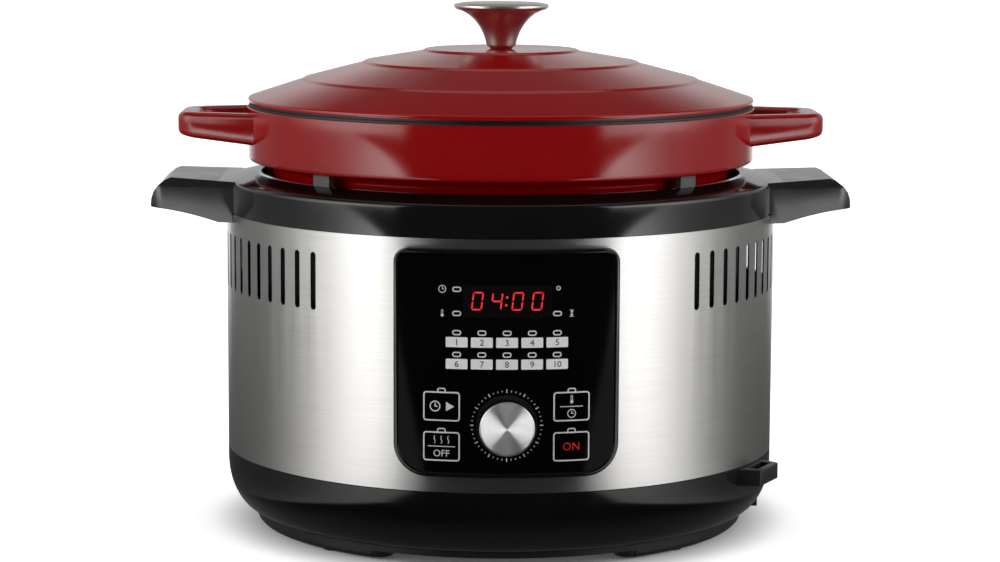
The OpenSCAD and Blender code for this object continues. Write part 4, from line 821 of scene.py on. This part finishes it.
def make_ring():
    """Glossy top ring with its two handles"""
    lip_out = MOULDING_LIP_R
    lip_in = lip_out - MOULDING_LIP_T
    wall = SHELL_T
    roof = 1.1 * wall
    shoulder_corner = 2.5 * MM
    lip_corner = 1.5 * MM
    skirt_z = RING_Z + 8.5 * MM
    ring = turned("top_ring_moulding", rounded([
        (RING_R, RING_Z, 0), (RING_R, RING_WALL_Z, shoulder_corner), (RING_LIP_R, LIP_Z, lip_corner),
        (MOUTH_R, LIP_Z, SOFT_EDGE), (MOUTH_R, skirt_z, 0), (MOUTH_R + wall, skirt_z, 0),
        (MOUTH_R + wall, ring_top(RING_LIP_R) - roof, 0), (lip_in, ring_top(lip_in) - roof, 0),
        (lip_in, RING_LOW.z, 0), (lip_out, RING_LOW.z, 0), (lip_out, RING_Z, 0), (RING_R, RING_Z, 0)]))
    handle = make_handle()
    combine(ring, turn_copy(handle, "handle_copy", math.pi), "UNION")
    combine(ring, handle, "UNION")

    def finish(middle):
        if math.hypot(middle.x, middle.y) > RING_R + HAIR:
            return 1
        return 2 if middle.z < RING_Z - HAIR else 0

    settle(ring, "base", [MATERIALS["black_gloss"], HANDLE_SATIN, MATERIALS["pad_rubber"]],
           ["top_ring"], finish, angle=24)


def make_lower_shell():
    """Glossy bowl between the plinth and the band, with its inlet window"""
    lip_out = MOULDING_LIP_R
    lip_in = lip_out - MOULDING_LIP_T
    lip_foot_z = BOWL_Z + 3.4 * MM
    flange_r = PLINTH_R - 31 * MM
    wide = BODY_R - PLINTH_R
    tall = BOWL_Z - PLINTH_Z
    steps = 18
    turns = [math.radians(90 * i / steps) for i in range(steps + 1)]
    outer = [(PLINTH_R + wide * math.cos(t), BOWL_Z - tall * math.sin(t)) for t in turns]
    inner = [(PLINTH_R + (wide - SHELL_T) * math.cos(t), BOWL_Z - (tall - SHELL_T) * math.sin(t))
             for t in reversed(turns)]
    top = [(lip_in, lip_foot_z), (lip_in, SHELL_HIGH.z), (lip_out, SHELL_HIGH.z), (lip_out, BAND_Z),
           (BODY_R - FINE_EDGE, BAND_Z), (BODY_R, BAND_Z - FINE_EDGE)]
    shell = turned("lower_shell_moulding", [(BODY_R, BAND_Z - FINE_EDGE)] + outer
                   + [(flange_r, PLINTH_Z), (flange_r, PLINTH_Z + SHELL_T)] + inner + top)
    side = 22.4 * MM
    window_in = PLINTH_R + 1.5 * MM
    window_out = BODY_R + 9 * MM
    window_h = 23.4 * MM
    window = block("window", [(window_in, -side), (window_out, -side), (window_out, side), (window_in, side)],
                   PLINTH_Z - MM, PLINTH_Z + window_h)
    bpy.ops.object.mode_set(mode="OBJECT")
    window.data.transform(Matrix.Rotation(INLET_TURN, 4, "Z"))
    combine(shell, window, "DIFFERENCE")
    settle(shell, "base", [MATERIALS["black_gloss"]], ["lower_shell"], angle=25)


def make_bezel():
    """Raised rounded frame round the panel, bent to the body"""
    half_w = PANEL_W / 2
    half_h = PANEL_H / 2
    low_corner = 16 * MM
    high_corner = 7 * MM
    frame_w = 2.4 * MM
    frame_edge = 0.7 * MM
    front_gap = 0.01 * MM
    slices = 40
    outline = rounded([(0, -half_h, 0), (half_w, -half_h, low_corner), (half_w, half_h, high_corner),
                       (-half_w, half_h, high_corner), (-half_w, -half_h, low_corner), (0, -half_h, 0)],
                      steps=10)
    depth = BEZEL_R - BODY_R - HAIR
    bezel = begin("panel_bezel_frame")
    draw([(x, y, 0) for x, y in outline[:-1]])
    bpy.ops.mesh.select_all(action="SELECT")
    bpy.ops.mesh.edge_face_add()
    hollow(frame_w)
    raise_all(-depth)
    bpy.ops.mesh.normals_make_consistent(inside=False)
    bevel_edges(bezel, lambda middle: middle.z > -front_gap, frame_edge, segments=4)
    slice_across(Vector((1, 0, 0)), [PANEL_W * (i / slices - 0.5) for i in range(1, slices)])
    close_mesh()
    wrap(bezel, BEZEL_R, PANEL_Z + half_h)
    settle(bezel, "base", [MATERIALS["black_gloss"]], ["panel_bezel"])


def make_dial():
    """Metal dial cap with a softened edge, a pointer groove and a dark side"""
    front = DIAL_LOW.y
    back = DIAL_HIGH.y
    wall = 1.5 * MM
    front_edge = 1.0 * MM
    back_edge = 0.2 * MM
    profile = rounded([(0, front, 0), (DIAL_R, front, front_edge), (DIAL_R, back, back_edge),
                       (DIAL_R - wall, back, 0), (DIAL_R - wall, front + wall, 0), (0, front + wall, 0)])
    dial = begin("dial_cap_spun")
    draw([(r, y, DIAL_Z) for r, y in profile])
    bpy.ops.mesh.select_all(action="SELECT")
    bpy.ops.mesh.spin(steps=96, angle=2 * math.pi, center=(0, 0, DIAL_Z), axis=(0, 1, 0))
    close_mesh()
    groove_up = DIAL_R - 3.9 * MM
    groove_w = 1.8 * MM
    groove_h = 3.4 * MM
    groove_corner = 0.85 * MM
    groove_depth = 0.45 * MM
    groove = begin_print("groove")
    plate(0, groove_up, groove_w, groove_h, groove_corner)
    raise_all(MM)
    close_mesh()
    upright = Matrix.Rotation(math.pi / 2, 4, "X")
    groove.data.transform(Matrix.Translation((0, front + groove_depth, DIAL_Z)) @ upright)
    combine(dial, groove, "DIFFERENCE")
    dark_from = front + 1.1 * MM
    settle(dial, "dial", [MATERIALS["dial_metal"], MATERIALS["black_gloss"]], ["dial_cap"],
           lambda middle: 1 if middle.y > dark_from else 0)


def make_side_loop():
    """Small moulded loop on the lower shell, with softened edges"""
    loop_low, loop_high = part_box("side_loop")
    below = loop_low.z - MM
    above = loop_high.z + MM
    inside = BODY_R - 2 * MM
    out = BODY_R + 10.7 * MM
    root_half = 16.4 * MM
    end_half = 12 * MM
    hole_in = BODY_R + 2.6 * MM
    hole_out = out - 3 * MM
    hole_half = 9 * MM
    body_r = BODY_R + HAIR
    loop = block("side_loop_moulding",
                 [(inside, -root_half), (out, -end_half), (out, end_half), (inside, root_half)],
                 loop_low.z, loop_high.z)
    bevel_edges(loop, lambda middle: middle.x > inside + MM, radius=0.7 * MM, segments=3)
    bpy.ops.object.mode_set(mode="OBJECT")
    hole = block("hole", [(hole_in, -hole_half), (hole_out, -hole_half), (hole_out, hole_half),
                          (hole_in, hole_half)], below, above)
    bpy.ops.object.mode_set(mode="OBJECT")
    combine(loop, hole, "DIFFERENCE")
    bore = turned("loop_bore", [(0, below), (body_r, below), (body_r, above), (0, above)])
    combine(loop, bore, "DIFFERENCE")
    loop.data.transform(Matrix.Rotation(LOOP_TURN, 4, "Z"))
    settle(loop, "base", [MATERIALS["black_satin"]], ["side_loop"])


# Print on the panel. It is drawn flat, in x and y with its thickness in z, and then bent to the body.

def wrap(piece, radius, lift=0.0, turn=0.0):
    """Bends a flat drawing round the front of the body, lifts it and turns it about the axis"""
    for vertex in piece.data.vertices:
        x, up, out = vertex.co
        vertex.co = (x, -math.sqrt((radius + out) ** 2 - x * x), up + lift)
    piece.data.transform(Matrix.Rotation(turn, 4, "Z"))


def begin_print(name):
    """A new drawing in edit mode, still empty"""
    piece = begin(name)
    bpy.ops.mesh.delete(type="VERT")
    return piece


def plate(x, y, w, h, corner=0.0, turn=0.0):
    """A filled rectangle with round corners"""
    bpy.ops.mesh.primitive_plane_add(size=1, location=(x, y, 0))
    bpy.ops.transform.resize(value=(w, h, 1), center_override=(x, y, 0))
    if turn:
        bpy.ops.transform.rotate(value=-turn, orient_axis="Z", center_override=(x, y, 0))
    if corner:
        bpy.ops.mesh.bevel(offset=corner, segments=5, affect="VERTICES")
        bpy.ops.mesh.select_linked()


def hollow(line):
    """Leaves only the outline of the shape drawn last, in that line width"""
    bpy.ops.mesh.inset(thickness=line, use_even_offset=True)
    bpy.ops.mesh.delete(type="FACE")


def disc(x, y, radius, sides=28, turn=0.0):
    """A filled circle, or a triangle where it has three sides"""
    bpy.ops.mesh.primitive_circle_add(vertices=sides, radius=radius, fill_type="NGON", location=(x, y, 0),
                                      rotation=(0, 0, turn))


def pill_outline(x, y):
    """Printed edge of an indicator window"""
    plate(x, y, LAMP_W, LAMP_H, LAMP_CORNER)
    hollow(LAMP_LINE)


def clock_mark(x, y, size):
    """A clock face with two hands, drawn in shares of its radius"""
    line = size * 0.2
    disc(x, y, size)
    hollow(line)
    plate(x, y + size * 0.3, line, size * 0.6)
    plate(x + size * 0.22, y, size * 0.45, line)


def thermometer_mark(x, y, size):
    """A thermometer: an outlined tube over a filled bulb"""
    plate(x, y + size * 0.35, size * 0.55, size * 1.3, size * 0.26)
    hollow(size * 0.14)
    disc(x, y - size * 0.6, size * 0.42)


def hourglass_mark(x, y, size):
    """An hourglass: two triangles, tip to tip, between two bars"""
    for way in (1, -1):
        disc(x, y + way * size * 0.48, size * 0.6, 3, -way * math.pi / 2)
    for way in (1, -1):
        plate(x, y + way * size, size * 1.3, size * 0.2)


def wave_mark(x, y, size):
    """One rising wave of heat, made of short leaning bars"""
    bars = 8
    middle = (bars - 1) / 2
    for index in range(bars):
        phase = index * math.pi / middle
        swing = math.sin(phase) * size * 0.14
        rise = (index - middle) * size * 0.25
        plate(x + swing, y + rise, size * 0.2, size * 0.3, turn=-0.5 * math.cos(phase))


def add_text(words, x, y, height):
    """Flat lettering of that height as a mesh, for the drawing that it joins"""
    bpy.ops.object.select_all(action="DESELECT")
    bpy.ops.object.text_add(location=(0, 0, 0))
    text = bpy.context.object
    text.data.body = words
    text.data.size = height / CAPITAL_SHARE
    text.data.align_x = "CENTER"
    text.data.align_y = "CENTER"
    text.data.resolution_u = 4
    bpy.ops.object.convert(target="MESH")
    text = bpy.context.object
    heights = [vertex.co.y for vertex in text.data.vertices]
    middle = (max(heights) + min(heights)) / 2
    text.data.transform(Matrix.Translation((x, y - middle, 0)))
    return text


def key_word(word, y, height):
    """A word for the key drawing in edit mode, which is then left and active again"""
    bpy.ops.object.mode_set(mode="OBJECT")
    drawing = bpy.context.object
    words = [add_text(word, 0, y, height)]
    make_active(drawing)
    return words


def end_print(piece, texts):
    """Joins the lettering, gives the drawing the ink's thickness and cuts it finely enough to bend"""
    bpy.ops.object.mode_set(mode="OBJECT")
    if texts:
        make_active(piece)
        for text in texts:
            text.select_set(True)
        bpy.ops.object.join()
    make_active(piece)
    bpy.ops.object.mode_set(mode="EDIT")
    bpy.ops.mesh.select_all(action="SELECT")
    bpy.ops.mesh.remove_doubles(threshold=WELD)
    raise_all(INK)
    widths = [vertex.co.x for vertex in bmesh.from_edit_mesh(piece.data).verts]
    step = 1.5 * MM
    first = math.ceil(min(widths) / step)
    slice_across(Vector((1, 0, 0)), [i * step for i in range(first, math.floor(max(widths) / step) + 1)])
    close_mesh()


def make_panel_print():
    """White marks on the panel: lamp outlines, mode marks and the dial's scale"""
    marks = begin_print("panel_print")
    for column in range(-2, 3):
        for row in LAMP_ROWS:
            pill_outline(column * LAMP_PITCH, row)
    for x, z in [(-MODE_X, MODE_HIGH_Z), (-MODE_X, MODE_LOW_Z), (MODE_X, MODE_LOW_Z)]:
        pill_outline(x, z)
    clock_mark(-MARK_X, MODE_HIGH_Z, size=1.9 * MM)
    thermometer_mark(-MARK_X, MODE_LOW_Z, size=1.7 * MM)
    hourglass_mark(MARK_X, MODE_LOW_Z, size=1.5 * MM)
    disc(MODE_X + 0.4 * MM, MODE_HIGH_Z + 0.6 * MM, radius=1.1 * MM)
    hollow(line=0.45 * MM)
    for index in range(SCALE_TICKS):
        turn = index * 2 * math.pi / SCALE_TICKS
        width, length = LONG_TICK if index % LONG_TICK_EVERY == 0 else SHORT_TICK
        plate(SCALE_R * math.sin(turn), DIAL_Z + SCALE_R * math.cos(turn), width, length, turn=-turn)
    end_print(marks, [])
    wrap(marks, FACE_R)
    settle(marks, "base", [WHITE_INK])


def make_labels():
    """Ten white label plates with plain numbers"""
    labels = begin_print("label_plates")
    for column in range(-2, 3):
        for row in LAMP_ROWS:
            plate(column * LAMP_PITCH, row - LABEL_DROP, LABEL_W, LABEL_H, LABEL_CORNER)
    end_print(labels, [])
    wrap(labels, FACE_R)
    settle(labels, "base", [LABEL_INK])
    numbers = begin_print("label_numbers")
    bpy.ops.object.mode_set(mode="OBJECT")
    texts = []
    for line, row in enumerate(LAMP_ROWS):
        for column in range(5):
            number = str(5 * line + column + 1)
            texts.append(add_text(number, (column - 2) * LAMP_PITCH, row - LABEL_DROP, NUMBER_H))
    end_print(numbers, texts)
    wrap(numbers, FACE_R + INK)
    settle(numbers, "base", [DARK_INK])


def make_digits():
    """Slanted seven-segment digits and a colon on the display"""
    digits = begin_print("display_digits")
    w = DIGIT_W
    h = DIGIT_H
    bars = {"a": (0, h, 0), "b": (w / 2, h / 2, 1), "c": (w / 2, -h / 2, 1), "d": (0, -h, 0),
            "e": (-w / 2, -h / 2, 1), "f": (-w / 2, h / 2, 1), "g": (0, 0, 0)}
    upright_size = (DIGIT_BAR, h - 0.9 * DIGIT_BAR)
    level_size = (w - 0.7 * DIGIT_BAR, DIGIT_BAR)
    for middle, lit in zip(DIGIT_MIDDLES, ["abcdef", "bcfg", "abcdef", "abcdef"]):
        for name in lit:
            x, y, upright = bars[name]
            plate(middle + x, y, *(upright_size if upright else level_size), DIGIT_CORNER)
    dot_x = -0.3 * MM
    dot_w = 1.1 * MM
    for y in (-1.9 * MM, 1.9 * MM):
        plate(dot_x, y, dot_w, dot_w, DIGIT_CORNER)
    end_print(digits, [])
    for vertex in digits.data.vertices:
        vertex.co.x += vertex.co.y * DIGIT_SLANT
    wrap(digits, FACE_R, DISPLAY_Z)
    settle(digits, "base", [SEGMENT_RED])


def make_key_print(name, side, draw_marks, ink):
    """Marks of one key, on the key itself"""
    low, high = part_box(name)
    marks = begin_print(name + "_print")
    end_print(marks, draw_marks())
    wrap(marks, FACE_R, (low.z + high.z) / 2, side * KEY_TURN)
    settle(marks, name, [ink])


def delay_marks():
    """A clock and a start arrow"""
    size = 2.7 * MM
    clock_mark(-3.2 * MM, 0, size)
    disc(3.6 * MM, 0, size, 3, -math.pi / 2)
    return []


def warm_marks():
    """Three waves of heat over a rule and a word"""
    for x in (-3.4 * MM, 0, 3.4 * MM):
        wave_mark(x, 3.3 * MM, size=1.9 * MM)
    plate(0, 0, w=13.6 * MM, h=KEY_RULE)
    return key_word("OFF", y=-3.4 * MM, height=3.3 * MM)


def heat_marks():
    """A thermometer over a rule and a clock"""
    thermometer_mark(0, 3.5 * MM, size=2 * MM)
    plate(0, 0, w=11.4 * MM, h=KEY_RULE)
    clock_mark(0, -3.5 * MM, size=2.2 * MM)
    return []


def start_marks():
    """One word"""
    return key_word("ON", y=0, height=3.9 * MM)


def make_key_frames():
    """Printed frames round the four keys, each with its lamp's edge on top"""
    for side, name in [(-1, "left"), (1, "right")]:
        frames = begin_print("key_frames_" + name)
        for key in ("upper", "lower"):
            low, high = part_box("key_" + key + "_" + name)
            middle = (low.z + high.z) / 2
            plate(0, middle, KEY_FRAME_W, KEY_FRAME_H, KEY_CORNER)
            hollow(KEY_LINE)
            pill_outline(0, middle + KEY_LAMP_UP)
        end_print(frames, [])
        wrap(frames, FACE_R, 0, side * KEY_TURN)
        settle(frames, "base", [WHITE_INK])


# Studio

def make_floor():
    """Pale floor, white to the camera but with a painted shadow round the feet. Mirrors show white sides and
    black cards, and a painted shade on the floor near the body
    """
    bpy.ops.object.select_all(action="DESELECT")
    bpy.ops.mesh.primitive_plane_add(size=FLOOR_W)
    floor = bpy.context.object
    floor.name = "studio_floor"
    material, tree = new_material("pale_studio_floor")
    paths = add_node(tree, "LightPath", {})
    place = add_node(tree, "TexCoord", {}).outputs["Object"]
    radius = add_node(tree, "VectorMath", {0: place}, operation="LENGTH").outputs["Value"]
    axes = add_node(tree, "SeparateXYZ", {"Vector": place})
    ahead = add_node(tree, "Math", {0: axes.outputs["Y"], 1: -1.0}, operation="MULTIPLY").outputs[0]
    aside = add_node(tree, "Math", {0: axes.outputs["X"]}, operation="ABSOLUTE").outputs[0]
    before = add_node(tree, "Math", {0: ahead, 1: 0.0}, operation="MAXIMUM")
    bend = add_node(tree, "Math", {0: before.outputs[0], 1: CARD_BEND}, operation="POWER")
    widening = add_node(tree, "Math", {0: bend.outputs[0], 1: CARD_SPREAD}, operation="MULTIPLY")
    edge = add_node(tree, "Math", {0: widening.outputs[0], 1: CARD_HALF}, operation="MAXIMUM")
    past_card = add_node(tree, "Math", {0: aside, 1: edge.outputs[0]}, operation="SUBTRACT")
    past_share = add_node(tree, "Math", {0: past_card.outputs[0], 1: radius}, operation="DIVIDE")
    lit = add_node(tree, "MapRange", {"Value": past_share.outputs[0], "From Max": 0.04})
    turn = add_node(tree, "Math", {0: aside, 1: ahead}, operation="ARCTAN2")
    share = add_node(tree, "Math", {0: turn.outputs[0], 1: 1 / math.pi}, operation="MULTIPLY")
    matte = add_node(tree, "BsdfDiffuse", {"Color": grey(0.8)})
    # Seen by the camera, the floor darkens towards the body: a painted shadow round the feet
    white = add_node(tree, "ValToRGB", {"Fac": radius}, stops=greys(FLOOR_SEEN_WITH_PAINTED_SHADOW))
    seen = add_node(tree, "Math", {0: white.outputs["Color"], 1: paths.outputs["Is Camera Ray"]},
                    operation="MULTIPLY")
    glow = add_node(tree, "Emission", {"Color": grey(1), "Strength": seen.outputs[0]})
    plain_floor = add_node(tree, "AddShader", {0: matte.outputs[0], 1: glow.outputs[0]})
    sides = add_node(tree, "ValToRGB", {"Fac": share.outputs[0]}, stops=greys(FLOOR_MIRRORED))
    shade = add_node(tree, "Math", {0: lit.outputs[0], 1: CARD_LEVEL}, operation="MAXIMUM")
    level = add_node(tree, "MapRange", {"Value": radius, "From Min": 0.8, "From Max": 1.1, "To Min": 1.7,
                                        "To Max": 4.8})
    # In mirrors the floor dims towards the body: a painted shade on the floor round it
    mirrored_painted_shade = add_node(tree, "MapRange", {"Value": radius, "From Min": 0.15, "From Max": 0.4, "To Min": 0.5})
    # Nearest the body the mirrored floor keeps a faint glow: a painted level for the floor in the body's
    # shadow
    under = add_node(tree, "MapRange", {"Value": radius, "From Min": 0.15, "From Max": 0.19, "To Min": 0.11,
                                        "To Max": 0.0})
    strength = level.outputs[0]
    for factor in (shade.outputs[0], mirrored_painted_shade.outputs[0], sides.outputs["Color"]):
        strength = add_node(tree, "Math", {0: strength, 1: factor}, operation="MULTIPLY").outputs[0]
    strength = add_node(tree, "Math", {0: strength, 1: under.outputs[0]}, operation="MAXIMUM").outputs[0]
    mirrored = add_node(tree, "Emission", {"Color": grey(1), "Strength": strength})
    reflected = add_node(tree, "Math", {0: paths.outputs["Is Glossy Ray"],
                                        1: paths.outputs["Is Transmission Ray"]}, operation="MAXIMUM")
    look = add_node(tree, "MixShader", {0: reflected.outputs[0], 1: plain_floor.outputs[0],
                                        2: mirrored.outputs[0]})
    add_node(tree, "OutputMaterial", {"Surface": look.outputs[0]})
    floor.data.materials.append(material)


def softbox(name, place, aim, size, radiance):
    """A soft rectangular light at a place, aimed at another"""
    light = bpy.data.lights.new(name, "AREA")
    light.shape = "RECTANGLE"
    light.size, light.size_y = size
    light.energy = radiance * math.pi * size[0] * size[1]
    lamp = bpy.data.objects.new(name, light)
    lamp.location = place
    lamp.rotation_euler = (Vector(aim) - Vector(place)).to_track_quat("-Z", "Y").to_euler()
    lamp.visible_camera = False
    bpy.context.scene.collection.objects.link(lamp)


def make_world():
    """White to the camera. To the object, tall lights at both sides, pale low behind and dim in front"""
    world = bpy.data.worlds.new("studio_world")
    world.use_nodes = True
    tree = world.node_tree
    tree.nodes.clear()
    paths = add_node(tree, "LightPath", {})
    way = add_node(tree, "TexCoord", {}).outputs["Generated"]
    axes = add_node(tree, "SeparateXYZ", {"Vector": way})
    back = add_node(tree, "MapRange", {"Value": axes.outputs["Y"], "From Min": -0.3, "From Max": 0.6,
                                       "To Max": ROOM_BACK})
    aside = add_node(tree, "Math", {0: axes.outputs["X"]}, operation="ABSOLUTE")
    bow = add_node(tree, "Math", {0: aside.outputs[0], 1: ROOM_BOW, 2: axes.outputs["Z"]},
                   operation="MULTIPLY_ADD")
    height = add_node(tree, "ValToRGB", {"Fac": bow.outputs[0]}, stops=greys(ROOM_HEIGHT))
    room = add_node(tree, "Math", {0: back.outputs[0], 1: height.outputs["Color"]}, operation="MULTIPLY")
    dim = add_node(tree, "Math", {0: room.outputs[0], 1: ROOM_DIM}, operation="MAXIMUM")
    ahead = add_node(tree, "Math", {0: axes.outputs["Y"], 1: -1.0}, operation="MULTIPLY")
    turn = add_node(tree, "Math", {0: aside.outputs[0], 1: ahead.outputs[0]}, operation="ARCTAN2")
    share = add_node(tree, "Math", {0: turn.outputs[0], 1: 1 / math.pi}, operation="MULTIPLY")
    across = add_node(tree, "ValToRGB", {"Fac": share.outputs[0]}, stops=greys(LIGHT_ACROSS))
    up = add_node(tree, "ValToRGB", {"Fac": axes.outputs["Z"]}, stops=greys(LIGHT_UP))
    sides = add_node(tree, "Math", {0: across.outputs["Color"], 1: up.outputs["Color"]}, operation="MULTIPLY")
    lit = add_node(tree, "Math", {0: dim.outputs[0], 1: sides.outputs[0]}, operation="MAXIMUM")
    strength = add_node(tree, "Math", {0: lit.outputs[0], 1: paths.outputs["Is Camera Ray"]},
                        operation="MAXIMUM")
    light = add_node(tree, "Background", {"Color": grey(1), "Strength": strength.outputs[0]})
    add_node(tree, "OutputWorld", {"Surface": light.outputs[0]})
    bpy.context.scene.world = world


def make_camera():
    """The photograph's viewing angle"""
    lens = bpy.data.cameras.new("photo_camera")
    lens.lens = CAMERA_LENS
    lens.sensor_width = CAMERA_SENSOR
    camera = bpy.data.objects.new("photo_camera", lens)
    camera.location = CAMERA_PLACE
    aside = Matrix.Rotation(math.radians(CAMERA_ASIDE), 3, "Z")
    down = Matrix.Rotation(math.radians(90 - CAMERA_DOWN), 3, "X")
    roll = Matrix.Rotation(math.radians(CAMERA_ROLL), 3, "Z")
    camera.rotation_euler = (aside @ down @ roll).to_euler()
    bpy.context.scene.collection.objects.link(camera)
    bpy.context.scene.camera = camera
    bpy.context.scene.view_settings.view_transform = "Standard"


def make_studio():
    """Floor, a weak softbox over the lid, the room with its tall lights at both sides, and the camera"""
    make_floor()
    softbox("top_box", place=(0, 0.3, 1.7), aim=(0, 0, 0.2), size=(1.6, 1.2), radiance=0.5)
    make_world()
    make_camera()


for part in frame["record"]["subparts"]:
    frame["nodes"][part["node"]].material_slots[0].material = MATERIALS[part["material_slot"]]
# The heat shield takes the sheet's darker copy, its painted shade
frame["nodes"]["heat_shield"].material_slots[0].material = SHIELD_PAINTED_SHADE
frame["nodes"]["pot_rest_pads"].material_slots[0].material = PAD_GREY

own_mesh(frame["nodes"]["sensor_spring"])

make_pot()
make_lid()
make_knob()
make_ring()
make_lower_shell()
make_bezel()
make_dial()
make_side_loop()
make_panel_print()
make_labels()
make_digits()
make_key_print("key_upper_left", -1, delay_marks, WHITE_INK)
make_key_print("key_lower_left", -1, warm_marks, WHITE_INK)
make_key_print("key_upper_right", 1, heat_marks, WHITE_INK)
make_key_print("key_lower_right", 1, start_marks, RED_INK)
make_key_frames()
make_studio()
